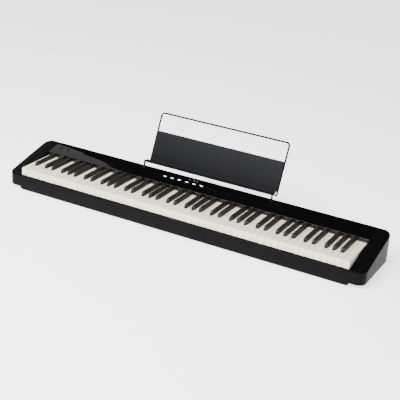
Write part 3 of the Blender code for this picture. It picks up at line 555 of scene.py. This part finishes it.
# ---------------------------------------------------------------- case
def end_block(name, side):
    """Hollow end of the case, open below, with round outer corners and an eased top edge."""

    def outline(inset, steps=20):
        radius = max(CORNER_RADIUS - inset, MM)
        inner_x = BLOCK_INNER_X + inset
        outer_x = RIGHT_X - inset - radius
        front = FRONT_Y + inset
        rear = REAR_Y - inset
        points = [(inner_x, front)]
        points += arc_points((outer_x, front + radius), radius, -QUARTER, 0, steps)
        points += arc_points((outer_x, rear - radius), radius, 0, QUARTER, steps)
        points.append((inner_x, rear))
        return [(side * x, y) for x, y in points]

    outer = outline(0)
    inner = outline(WALL)
    loops = [
        [(x, y, deck_height(y) - WALL) for x, y in inner],
        [(x, y, BLOCK_BOTTOM_Z) for x, y in inner],
        [(x, y, BLOCK_BOTTOM_Z) for x, y in outer],
        [(x, y, deck_height(y)) for x, y in outer],
    ]
    bm = bmesh.new()
    rings = stack(bm, loops)
    top = set(rings[-1])
    bmesh.ops.recalc_face_normals(bm, faces=bm.faces)
    bevel(bm, [edge for edge in bm.edges if set(edge.verts) <= top], TOP_EDGE_RADIUS, 5)
    piece(name + "_shell", bm, "case_satin", "case", [name])


def front_rail():
    """Key slip: a thin front wall with a ledge behind its rounded top edge."""
    bottom = low("front_rail").z
    top = deck_height(FRONT_Y)
    under = top - WALL
    corners = [
        (FRONT_Y, bottom, 0),
        (FRONT_Y + WALL, bottom, 0),
        (FRONT_Y + WALL, under, 0),
        (RAIL_BACK_Y, under, 0),
        (RAIL_BACK_Y, deck_height(RAIL_BACK_Y), 0),
        (FRONT_Y, top, 0),
    ]
    profile = rounded(corners, [0.6 * MM, 0, 0, 0, 0.8 * MM, TOP_EDGE_RADIUS], 6, closed=True)
    bm = bar_along_x([(p.x, p.y) for p in profile], -SPAN_HALF, SPAN_HALF)
    piece("front_fascia", bm, "case_satin", "case", ["front_rail"])


def cut(bm, tools):
    """Take closed tools out of a closed mesh."""
    things = []
    for source in (bm, tools):
        bmesh.ops.recalc_face_normals(source, faces=source.faces)
        mesh = bpy.data.meshes.new("cutting")
        source.to_mesh(mesh)
        source.free()
        thing = bpy.data.objects.new("cutting", mesh)
        bpy.context.scene.collection.objects.link(thing)
        things.append(thing)
    change = things[0].modifiers.new("cut", "BOOLEAN")
    change.operation = "DIFFERENCE"
    change.solver = "EXACT"
    change.object = things[1]
    result = bmesh.new()
    result.from_object(things[0], bpy.context.evaluated_depsgraph_get())
    for thing in things:
        bpy.data.objects.remove(thing, do_unlink=True)
    return result


def drill(bm, where, radius):
    """A round cutting tool that reaches through a wall."""
    profile = [(0, -CUT_REACH), (radius, -CUT_REACH), (radius, CUT_REACH), (0, CUT_REACH)]
    turned(bm, profile, where)


def punch(bm, where, half_x, half_y):
    """A rectangular cutting tool that reaches through a wall."""
    size = Matrix.Diagonal((2 * half_x, 2 * half_y, 2 * CUT_REACH, 1))
    bmesh.ops.create_cube(bm, size=1, matrix=where @ size)


def deck_panel():
    """Gloss panel with eased edges and holes for the dial, the button and the rest."""
    lip_back = PANEL_FRONT_Y + PANEL_LIP
    corners = [
        (PANEL_FRONT_Y, LIP_BOTTOM_Z, 0),
        (lip_back, LIP_BOTTOM_Z, 0),
        (lip_back, deck_height(lip_back) - WALL, 0),
        (REAR_Y, deck_height(REAR_Y) - WALL, 0),
        (REAR_Y, deck_height(REAR_Y), 0),
        (PANEL_FRONT_Y, deck_height(PANEL_FRONT_Y), 0),
    ]
    profile = rounded(corners, [0.8 * MM, 0.8 * MM, 0, 0.5 * MM, 0.8 * MM, 0.6 * MM], 5, closed=True)
    bm = bar_along_x([(p.x, p.y) for p in profile], -SPAN_HALF, SPAN_HALF)
    tools = bmesh.new()
    socket = (high("rest_socket_left").x - low("rest_socket_left").x) / 2
    for leg in LEG_PLACES:
        drill(tools, Matrix.Translation(leg), socket + FIT)
    drill(tools, on_deck(BUTTON_X, CONTROL_Y), BUTTON_RADIUS + FIT)
    slot_half = math.sqrt(DIAL_RADIUS**2 - (DIAL_SINK - WALL) ** 2) + FIT
    punch(tools, on_deck(DIAL_CENTRE.x, CONTROL_Y), slot_half, DIAL_WIDTH / 2 + FIT)
    piece("deck_panel", cut(bm, tools), "panel_gloss", "case", ["top_panel"], smooth=30)


def rear_shell():
    """Back cover with eased edges and a hole for each socket."""
    front = low("rear_cover").y
    bottom = low("rear_cover").z
    top = high("rear_cover").z
    corners = [
        (front, bottom, 0),
        (REAR_Y, bottom, 0),
        (REAR_Y, top, 0),
        (front, top - DECK_SLOPE * (REAR_Y - front), 0),
    ]
    profile = rounded(corners, [0.5 * MM, 1.2 * MM, 0.5 * MM, 0], 5, closed=True)
    bm = bar_along_x([(p.x, p.y) for p in profile], -SPAN_HALF, SPAN_HALF)
    tools = bmesh.new()
    for name, collar, _ in ROUND_JACKS:
        drill(tools, jack_place(name), collar + FIT)
    where = jack_place("usb_port")
    port = high("usb_port") - where.translation
    punch(tools, where, port.x + FIT, port.z + FIT)
    piece("rear_shell", cut(bm, tools), "case_satin", "case", ["rear_cover"], smooth=30)


def jacks():
    """Sockets with an eased collar, a contact ring in the bore and a pin in the inlet."""
    for name, collar, bore in ROUND_JACKS:
        bottom = low(name).y - REAR_Y
        body = (high(name).x - low(name).x) / 2
        shoulder = -WALL - FIT
        proud = high(name).y - REAR_Y
        ease = 0.3 * MM
        profile = [
            (0, bottom),
            (body - MM, bottom),
            (body, bottom + MM),
            (body, shoulder),
            (collar, shoulder),
            (collar, proud - ease),
            (collar - ease, proud),
            (bore + 2 * ease, proud),
            (bore, proud - 2 * ease),
            (bore, -CONTACT_DEPTH),
            (bore + ease, -CONTACT_DEPTH - 0.4 * MM),
            (bore + ease, -CONTACT_DEPTH - 1.4 * MM),
            (bore, -CONTACT_DEPTH - 1.8 * MM),
            (bore, bottom + BORE_END),
        ]
        if name == "dc_inlet":
            pin = INLET_PIN_RADIUS
            profile += [
                (pin, bottom + BORE_END),
                (pin, -CONTACT_DEPTH),
                (0.5 * pin, shoulder),
                (0, shoulder),
            ]
        else:
            profile.append((0, bottom + BORE_END))
        bm = bmesh.new()
        turned(bm, profile, jack_place(name))
        piece(name + "_socket", bm, "jack", "case", [name])


def felt_strip():
    """Red felt that hangs below the lip of the panel, its edges worn round; its colour is painted dark
    for the shade under the lip.
    """
    y0, z0 = low("key_felt").y, low("key_felt").z
    y1, z1 = high("key_felt").y, high("key_felt").z
    corners = [(y0, z0, 0), (y1, z0, 0), (y1, z1, 0), (y0, z1, 0)]
    profile = rounded(corners, [0.9 * MM, 0.9 * MM, 0.4 * MM, 0.4 * MM], 4, closed=True)
    bm = bar_along_x([(p.x, p.y) for p in profile], low("key_felt").x, high("key_felt").x, 60)
    piece("felt_strip", bm, "red_felt", "case", ["key_felt"])


def feet():
    """Rubber feet with a rounded rim and a shallow dish below."""
    for name in ("foot_front_left", "foot_front_right", "foot_rear_left", "foot_rear_right"):
        centre = (low(name) + high(name)) / 2
        radius = high(name).x - centre.x
        top = high(name).z
        profile = [(0, FOOT_DISH), (0.55 * radius, FOOT_DISH), (0.65 * radius, 0)]
        profile += arc_points((radius - FOOT_RIM, FOOT_RIM), FOOT_RIM, -QUARTER, 0, 6)
        profile += [(radius, top), (0, top)]
        bm = bmesh.new()
        turned(bm, profile, Matrix.Translation((centre.x, centre.y, 0)))
        piece(name + "_pad", bm, "rubber", "case", [name])


def screws():
    """Screws that hold the base, each with a domed head and a round recess in it."""
    base = low("lower_case").z
    profile = [
        (0, -0.4 * MM),
        (1.2 * MM, -0.5 * MM),
        (1.6 * MM, -1.1 * MM),
        (2.6 * MM, -1.0 * MM),
        (3.2 * MM, -0.7 * MM),
        (3.2 * MM, -0.35 * MM),
        (2.6 * MM, 0),
        (0, 0),
    ]
    rows = (("front", FRONT_Y + SCREW_FROM_EDGE), ("rear", REAR_Y - SCREW_FROM_EDGE))
    for i in range(SCREW_COUNT):
        x = (i - (SCREW_COUNT - 1) / 2) * SCREW_PITCH
        for row, y in rows:
            bm = bmesh.new()
            turned(bm, profile, Matrix.Translation((x, y, base)), 32)
            piece(f"base_screw_{row}_{i}", bm, "steel", "case")


def dial():
    """Wheel let into the deck, its rim cut with fine ribs."""
    where = Matrix.Translation(DIAL_CENTRE) @ Matrix.Rotation(DECK_TILT - QUARTER, 4, "X")
    half = DIAL_WIDTH / 2
    chamfer = 0.6 * MM
    hub = half - 0.35 * MM
    levels = (  # share of the radius, height
        (0.72, -half),
        (0.94, -half),
        (1, chamfer - half),
        (1, half - chamfer),
        (0.94, half),
        (0.72, half),
        (0.66, hub),
        (0.2, hub),
    )
    rings = []
    for share, z in levels:
        ring = []
        for i, (c, s) in enumerate(circle(4 * DIAL_RIBS)):
            groove = DIAL_GROOVE if share > 0.9 and i % 4 == 0 else 0
            radius = DIAL_RADIUS * (share - groove)
            ring.append(where @ Vector((radius * c, radius * s, z)))
        rings.append(ring)
    bm = bmesh.new()
    stack(bm, rings)
    piece("dial_wheel", bm, "case_satin", "volume_dial", ["volume_dial"], smooth=25)


def power_button():
    """Round push button, dished on top, with the flange that keeps it in."""
    flange = (high("power_button").x - low("power_button").x) / 2
    under = -WALL - MM
    bottom = under - 1.5 * MM
    top = 0.8 * MM
    edge = 0.5 * MM
    profile = [(0, bottom), (flange, bottom), (flange, under), (BUTTON_RADIUS, under)]
    profile += arc_points((BUTTON_RADIUS - edge, top - edge), edge, 0, QUARTER, 5)
    profile += [(0.75 * BUTTON_RADIUS, top), (0.4 * BUTTON_RADIUS, top - 0.3 * MM)]
    profile.append((0, top - 0.35 * MM))
    bm = bmesh.new()
    turned(bm, profile, on_deck(BUTTON_X, CONTROL_Y))
    piece("button_cap", bm, "case_satin", "power_button", ["power_button"])


def printed_plate(bm, where, half_x, half_y, radius, shift=(0, 0)):
    """A thin plate with round corners and an eased top edge, half sunk in the deck."""
    top = PRINT_THICKNESS
    a = half_x - radius
    b = half_y - radius
    loops = []
    for inset, z in ((0, -top), (0, top - PRINT_EASE), (PRINT_EASE, top)):
        plan = []
        for turn, centre in enumerate(((a, -b), (a, b), (-a, b), (-a, -b))):
            start = (turn - 1) * QUARTER
            plan += arc_points(centre, radius - inset, start, start + QUARTER, 6)
        loops.append([where @ Vector((x + shift[0], y + shift[1], z)) for x, y in plan])
    stack(bm, loops)


def touch_marks():
    """Lit marks printed through the gloss panel, and three unlit dots behind them, given a faint
    painted glow.
    """
    for i in range(MARK_COUNT):
        bm = bmesh.new()
        where = on_deck(MARK_FIRST_X + i * MARK_PITCH, CONTROL_Y)
        printed_plate(bm, where, MARK_HALF_LENGTH, MARK_HALF_WIDTH, MARK_CORNER)
        if i in SIGNED_MARKS:
            printed_plate(bm, where, SIGN_HALF_LENGTH, SIGN_HALF_WIDTH, SIGN_CORNER, SIGN_PLACE)
        piece(f"touch_mark_{i}", bm, "touch_mark", "case")
    for i, x in enumerate(DOTS_X):
        bm = bmesh.new()
        where = on_deck(x, CONTROL_Y + DOT_SETBACK)
        printed_plate(bm, where, DOT_HALF_WIDTH, DOT_HALF_WIDTH, DOT_CORNER)
        piece(f"unlit_dot_{i}", bm, "dim_mark", "case")


def case_pieces():
    """Everything on the case, and the two controls let into it."""
    end_block("left_end_block", -1)
    end_block("right_end_block", 1)
    front_rail()
    deck_panel()
    rear_shell()
    jacks()
    felt_strip()
    feet()
    screws()
    dial()
    power_button()
    touch_marks()


# ---------------------------------------------------------------- music rest
def tube(bm, path, radius, segments=20):
    """A round wire along a path, its two ends slightly domed."""
    rings = []
    last = len(path) - 1
    across = None
    for i, point in enumerate(path):
        ahead = (path[min(i + 1, last)] - path[max(i - 1, 0)]).normalized()
        across = across - ahead * across.dot(ahead) if across else ahead.orthogonal()
        across.normalize()
        side = ahead.cross(across)
        sizes = [(radius, Vector())]
        if i in (0, last):
            dome = ahead * WIRE_DOME * (1 if i else -1)
            sizes = [(radius, -dome), (0.8 * radius, Vector())]
            sizes = sizes if i else sizes[::-1]
        for size, shift in sizes:
            rings.append([point + shift + size * (across * c + side * s) for c, s in circle(segments)])
    stack(bm, rings)


def rest_wire():
    """One bent wire: a leg, a step back, up one side, across, and down again."""
    foot = deck_height(REST_LEG_Y) - SOCKET_DEPTH + MM
    side = [Vector((REST_LEG_Y, foot)), REST_LEG_TOP, REST_BACK, rest_up(REST_SLOPE_LENGTH)]
    left = [(REST_CENTRE_X - REST_HALF_WIDTH, *place) for place in side]
    right = [(REST_CENTRE_X + REST_HALF_WIDTH, *place) for place in reversed(side)]
    radii = [0, REST_BEND_RADIUS, REST_BEND_RADIUS, REST_CORNER_RADIUS]
    bm = bmesh.new()
    tube(bm, rounded(left + right, radii + radii[::-1], 10), WIRE_RADIUS)
    piece("rest_frame", bm, "rest_wire", "music_rest", ["music_rest_wire"], smooth=50)


def rest_bar():
    """Straight bar between the legs, at their back bend."""
    centre = (low("music_rest_bar") + high("music_rest_bar")) / 2
    half = high("music_rest_bar").x - centre.x
    bm = bmesh.new()
    places = [centre + Vector((share * half, 0, 0)) for share in (-1, -0.5, 0, 0.5, 1)]
    tube(bm, places, WIRE_RADIUS)
    piece("rest_cross_bar", bm, "rest_wire", "music_rest", ["music_rest_bar"], smooth=50)


def rest_panel():
    """Bent sheet in front of the wire: a leaning back, a folded tray and a low lip."""
    forward = WIRE_RADIUS + FIT + REST_SHEET / 2
    toward = Vector((-math.cos(REST_LEAN), math.sin(REST_LEAN))) * forward
    fold = rest_up(REST_PANEL_START) + toward
    tray = Vector((-math.cos(REST_TRAY_TILT), math.sin(REST_TRAY_TILT)))
    edge = fold + tray * REST_TRAY_DEPTH
    lip = edge + Vector((tray.y, -tray.x)) * REST_LIP_HEIGHT
    top = rest_up(REST_PANEL_START + REST_PANEL_HEIGHT) + toward
    corners = [(*point, 0) for point in (top, fold, edge, lip)]
    path = rounded(corners, [0, REST_FOLD_RADIUS, REST_LIP_RADIUS, 0], 12)
    tray_half = REST_HALF_WIDTH - WIRE_RADIUS - 2 * FIT
    widths = [REST_HALF_WIDTH if i < 2 else tray_half for i in range(len(path))]
    bm = bmesh.new()
    rows = []
    for i, point in enumerate(path):
        ahead = path[min(i + 1, len(path) - 1)] - path[max(i - 1, 0)]
        normal = Vector((-ahead.y, ahead.x, 0)).normalized() * REST_SHEET / 2
        ends = (REST_CENTRE_X - widths[i], REST_CENTRE_X + widths[i])
        pair = []
        for where in (point + normal, point - normal):
            pair.append([bm.verts.new((x, where.x, where.y)) for x in ends])
        rows.append([pair[0][0], pair[0][1], pair[1][1], pair[1][0]])
    for lower, upper in zip(rows, rows[1:]):
        bridge(bm, lower, upper)
    bm.faces.new(rows[0])
    bm.faces.new(rows[-1])
    bmesh.ops.recalc_face_normals(bm, faces=bm.faces)
    rim = set(rows[0]) | set(rows[-1])
    bevel(bm, [edge for edge in bm.edges if set(edge.verts) <= rim], REST_SHEET_EDGE)
    piece("rest_sheet", bm, "rest_sheet", "music_rest", ["music_rest_panel"], smooth=30)


def rest_sockets():
    """Bushes with a chamfered mouth and a rounded collar."""
    for name, leg in zip(("rest_socket_left", "rest_socket_right"), LEG_PLACES):
        radius = (high(name).x - low(name).x) / 2
        bore = WIRE_RADIUS + FIT
        proud = high(name).z - leg.z
        bottom = low(name).z - leg.z
        edge = SOCKET_EDGE
        profile = [(0, bottom), (radius - edge, bottom), (radius, bottom + edge)]
        profile += arc_points((radius - edge, proud - edge), edge, 0, QUARTER, 5)
        profile += [
            (bore + SOCKET_CHAMFER, proud),
            (bore, proud - SOCKET_CHAMFER),
            (bore, -SOCKET_DEPTH),
            (0, -SOCKET_DEPTH),
        ]
        bm = bmesh.new()
        turned(bm, profile, Matrix.Translation(leg))
        piece(name + "_bush", bm, "rubber", "case", [name])


def rest_pieces():
    """The music rest and the bushes that hold it."""
    rest_sockets()
    rest_wire()
    rest_bar()
    rest_panel()


# ---------------------------------------------------------------- keys
KEYS_LEFT_X = low("naturals_octave_0").x - KEY_GAP / 2
PITCH = (high("naturals_octave_7").x + KEY_GAP / 2 - KEYS_LEFT_X) / NATURAL_COUNT
SHARP_WIDTH = high("key_C4_sharp").x - low("key_C4_sharp").x
CASE_NODES = frame["record"]["behaviour"]["bodies"]["case"]


def sharp_centres():
    """X of the 36 sharps: a group's keys share the width of its naturals evenly."""
    found = []
    for octave in range(9):
        octave_left = KEYS_LEFT_X + (2 + 7 * (octave - 1)) * PITCH
        for start, naturals, letters in SHARP_GROUPS:
            for i in range(len(letters)):
                share = (1.5 + 2 * i) / (2 * naturals - 1)
                found.append(octave_left + (start + naturals * share) * PITCH)
    return [x for x in found if KEYS_LEFT_X + PITCH / 2 < x < -KEYS_LEFT_X - PITCH / 2]


SHARPS = sharp_centres()


def natural_outline(index, inset, rear_inset):
    """Plan of a natural key, notched where a sharp stands beside its tail."""
    left = KEYS_LEFT_X + index * PITCH + KEY_GAP / 2 + inset
    right = KEYS_LEFT_X + (index + 1) * PITCH - KEY_GAP / 2 - inset
    front = KEY_FRONT_Y + inset
    rear = KEY_REAR_Y - rear_inset
    notch_y = SHARP_FRONT_Y - SHARP_FRONT_GAP - inset
    reach = SHARP_WIDTH / 2 + SHARP_SIDE_GAP + inset
    tail_left = left
    tail_right = right
    for x in SHARPS:
        if abs(x - (left - inset)) < reach:
            tail_left = x + reach
        if abs(x - (right + inset)) < reach:
            tail_right = x - reach
    points = [(left, front), (right, front)]
    if tail_right != right:
        points += [(right, notch_y), (tail_right, notch_y)]
    points += [(tail_right, rear), (tail_left, rear)]
    if tail_left != left:
        points += [(tail_left, notch_y), (left, notch_y)]
    return points


def add_natural(bm, index):
    """A natural key: a shell open below, with eased edges all round its top."""
    outer = natural_outline(index, 0, 0)
    inner = natural_outline(index, KEY_WALL, 5 * KEY_WALL)
    loops = [
        [(x, y, KEY_TOP_Z - KEY_WALL) for x, y in inner],
        [(x, y, KEY_BOTTOM_Z) for x, y in inner],
        [(x, y, KEY_BOTTOM_Z) for x, y in outer],
        [(x, y, KEY_TOP_Z) for x, y in outer],
    ]
    rings = stack(bm, loops)
    outside = set(rings[-1]) | set(rings[-2])
    edges = {edge for vert in outside for edge in vert.link_edges}
    edges = [edge for edge in edges if set(edge.verts) <= outside]
    lower = set(rings[-2])
    bevel(bm, [edge for edge in edges if not set(edge.verts) <= lower], KEY_EDGE)


def add_sharp(bm, x):
    """A sharp: a tapering raised block with eased edges, and its stick behind."""
    wide = SHARP_WIDTH / 2
    narrow = SHARP_TOP_WIDTH / 2
    back = FELT_FRONT_Y - MM
    rear = high("key_C4_sharp").y
    stick_z = KEY_TOP_Z - KEY_WALL
    lower = [
        (SHARP_FRONT_Y, KEY_TOP_Z),
        (SHARP_FRONT_Y, KEY_BOTTOM_Z),
        (rear, KEY_BOTTOM_Z),
        (rear, stick_z),
        (back, stick_z),
        (back, KEY_TOP_Z),
    ]
    upper = [(back, SHARP_TOP_Z), (SHARP_FRONT_Y + SHARP_FRONT_SLOPE, SHARP_TOP_Z)]
    sides = []
    for side in (-1, 1):
        below = [bm.verts.new((x + side * wide, y, z)) for y, z in lower]
        above = [bm.verts.new((x + side * narrow, y, z)) for y, z in upper]
        bm.faces.new(below)
        bm.faces.new((below[-1], above[0], above[1], below[0]))
        sides.append(below + above)
    bridge(bm, sides[0], sides[1])
    raised = {vert for side in sides for vert in (side[0], *side[-2:])}
    tips = {vert for side in sides for vert in side[-2:]}
    edges = {edge for vert in tips for edge in vert.link_edges}
    edges = [edge for edge in edges if set(edge.verts) <= raised]
    bevel(bm, edges, SHARP_EDGE, 4)


def keys():
    """Every body of keys gets one piece, made of the keys that stand in its node's box."""
    for node in sorted(frame["nodes"]):
        if not node.startswith(("naturals_", "sharps_", "key_")) or node in CASE_NODES:
            continue
        bm = bmesh.new()
        if "sharp" in node:
            for x in SHARPS:
                if low(node).x < x < high(node).x:
                    add_sharp(bm, x)
            look = "key_ebony"
        else:
            first = round((low(node).x - KEY_GAP / 2 - KEYS_LEFT_X) / PITCH)
            last = round((high(node).x + KEY_GAP / 2 - KEYS_LEFT_X) / PITCH)
            for index in range(first, last):
                add_natural(bm, index)
            look = "key_ivory"
        piece(node + "_top", bm, look, node, [node])


# ---------------------------------------------------------------- stage, light and camera
CAMERA_AZIMUTH = math.radians(27.27)
CAMERA_ELEVATION = math.radians(23.55)
CAMERA_ROLL = math.radians(3.90)
CAMERA_DISTANCE = 3.3664
CAMERA_LENS = 90.36
CAMERA_RIGHT = 39.75 * MM
CAMERA_UP = 69.27 * MM
VIEW_CENTRE = Vector((0, (FRONT_Y + REAR_Y) / 2, 6.5 * MM))
FLOOR_HALF = 14


def camera():
    """Camera at the photograph's angle, tipped a little about its own axis."""
    flat = math.cos(CAMERA_ELEVATION)
    back = Vector((
        math.sin(CAMERA_AZIMUTH) * flat,
        -math.cos(CAMERA_AZIMUTH) * flat,
        math.sin(CAMERA_ELEVATION),
    ))
    level = Vector((0, 0, 1)).cross(back).normalized()
    upright = back.cross(level)
    right = level * math.cos(CAMERA_ROLL) + upright * math.sin(CAMERA_ROLL)
    up = upright * math.cos(CAMERA_ROLL) - level * math.sin(CAMERA_ROLL)
    data = bpy.data.cameras.new("camera")
    data.lens = CAMERA_LENS
    data.sensor_width = 36
    item = bpy.data.objects.new("camera", data)
    item.matrix_world = Matrix((right, up, back)).transposed().to_4x4()
    aim = VIEW_CENTRE + right * CAMERA_RIGHT + up * CAMERA_UP
    item.location = aim + back * CAMERA_DISTANCE
    bpy.context.scene.collection.objects.link(item)
    bpy.context.scene.camera = item


def softbox(name, at, aim, size, radiance, side=(0, 0, 1)):
    """A rectangular light of the stated radiance; its second size runs along side."""
    data = bpy.data.lights.new(name, "AREA")
    data.shape = "RECTANGLE"
    data.size = size[0]
    data.size_y = size[1]
    data.energy = radiance * math.pi * size[0] * size[1]
    item = bpy.data.objects.new(name, data)
    away = (Vector(at) - Vector(aim)).normalized()
    across = Vector(side).cross(away).normalized()
    item.matrix_world = Matrix((across, away.cross(across), away)).transposed().to_4x4()
    item.location = at
    bpy.context.scene.collection.objects.link(item)


# The panel at the bass end mirrors one long edge of this softbox.
GLOW_EDGE = Vector((-1.836, 1.346, 1.866))
GLOW_EDGE_RUN = Vector((0.721, -0.686, 0.097))
GLOW_AIM = Vector((-0.467, 0.019, 0.099))
GLOW_SIZE = (1.2, 2.6)


def lights():
    """A large key light in front, a weak one at the treble end and the one that is mirrored."""
    softbox("key_light", (-0.6, -2.2, 2.9), (0, 0, 0), (3.2, 2.4), radiance=18)
    softbox("side_light", (3.4, -0.6, 1.6), (0.3, 0, 0), (2.2, 2.2), radiance=1.0)
    inward = (GLOW_AIM - GLOW_EDGE).cross(GLOW_EDGE_RUN).normalized() * GLOW_SIZE[0] / 2
    softbox("deck_glow", GLOW_EDGE + inward, GLOW_AIM + inward, GLOW_SIZE, 0.75, GLOW_EDGE_RUN)


def world():
    """Dim overhead and bright near the horizon, as in a studio with pale walls."""
    scene = bpy.context.scene
    scene.world = bpy.data.worlds.new("studio")
    scene.world.use_nodes = True
    tree = scene.world.node_tree
    where = tree.nodes.new("ShaderNodeTexCoord")
    split = tree.nodes.new("ShaderNodeSeparateXYZ")
    ramp = tree.nodes.new("ShaderNodeValToRGB")
    stops = ramp.color_ramp.elements
    stops[0].position = 0.15
    stops[0].color = (0.8, 0.8, 0.8, 1)
    stops[1].position = 0.5
    stops[1].color = (0.02, 0.02, 0.02, 1)
    tree.links.new(where.outputs["Generated"], split.inputs["Vector"])
    tree.links.new(split.outputs["Z"], ramp.inputs["Fac"])
    tree.links.new(ramp.outputs["Color"], tree.nodes["Background"].inputs["Color"])


def floor():
    """Plain pale floor that glows a little, so that it stays light to its far edge."""
    look = Look("floor", (0.92, 0.92, 0.92), 0.9, Emission_Color=(1, 1, 1, 1), Emission_Strength=2.0)
    look.roughness(look.noise(0.5, 2), 0.55, 0.65)
    bm = bmesh.new()
    half = FLOOR_HALF
    corners = [(-half, -half), (half, -half), (half, half), (-half, half)]
    bm.faces.new([bm.verts.new((x, y, 0)) for x, y in corners])
    mesh = bpy.data.meshes.new("floor")
    bm.to_mesh(mesh)
    bm.free()
    mesh.materials.append(look.material)
    item = bpy.data.objects.new("floor", mesh)
    bpy.context.scene.collection.objects.link(item)


def finish_cad_nodes():
    """The CAD nodes that are still shown get the fine version of their material."""
    slots = {part["node"]: part["material_slot"] for part in frame["record"]["subparts"]}
    for name, node in frame["nodes"].items():
        if node.hide_render:
            continue
        node.data.materials.clear()
        node.data.materials.append(MATERIALS[slots[name]])


camera()
world()
lights()
floor()
case_pieces()
rest_pieces()
keys()
finish_cad_nodes()
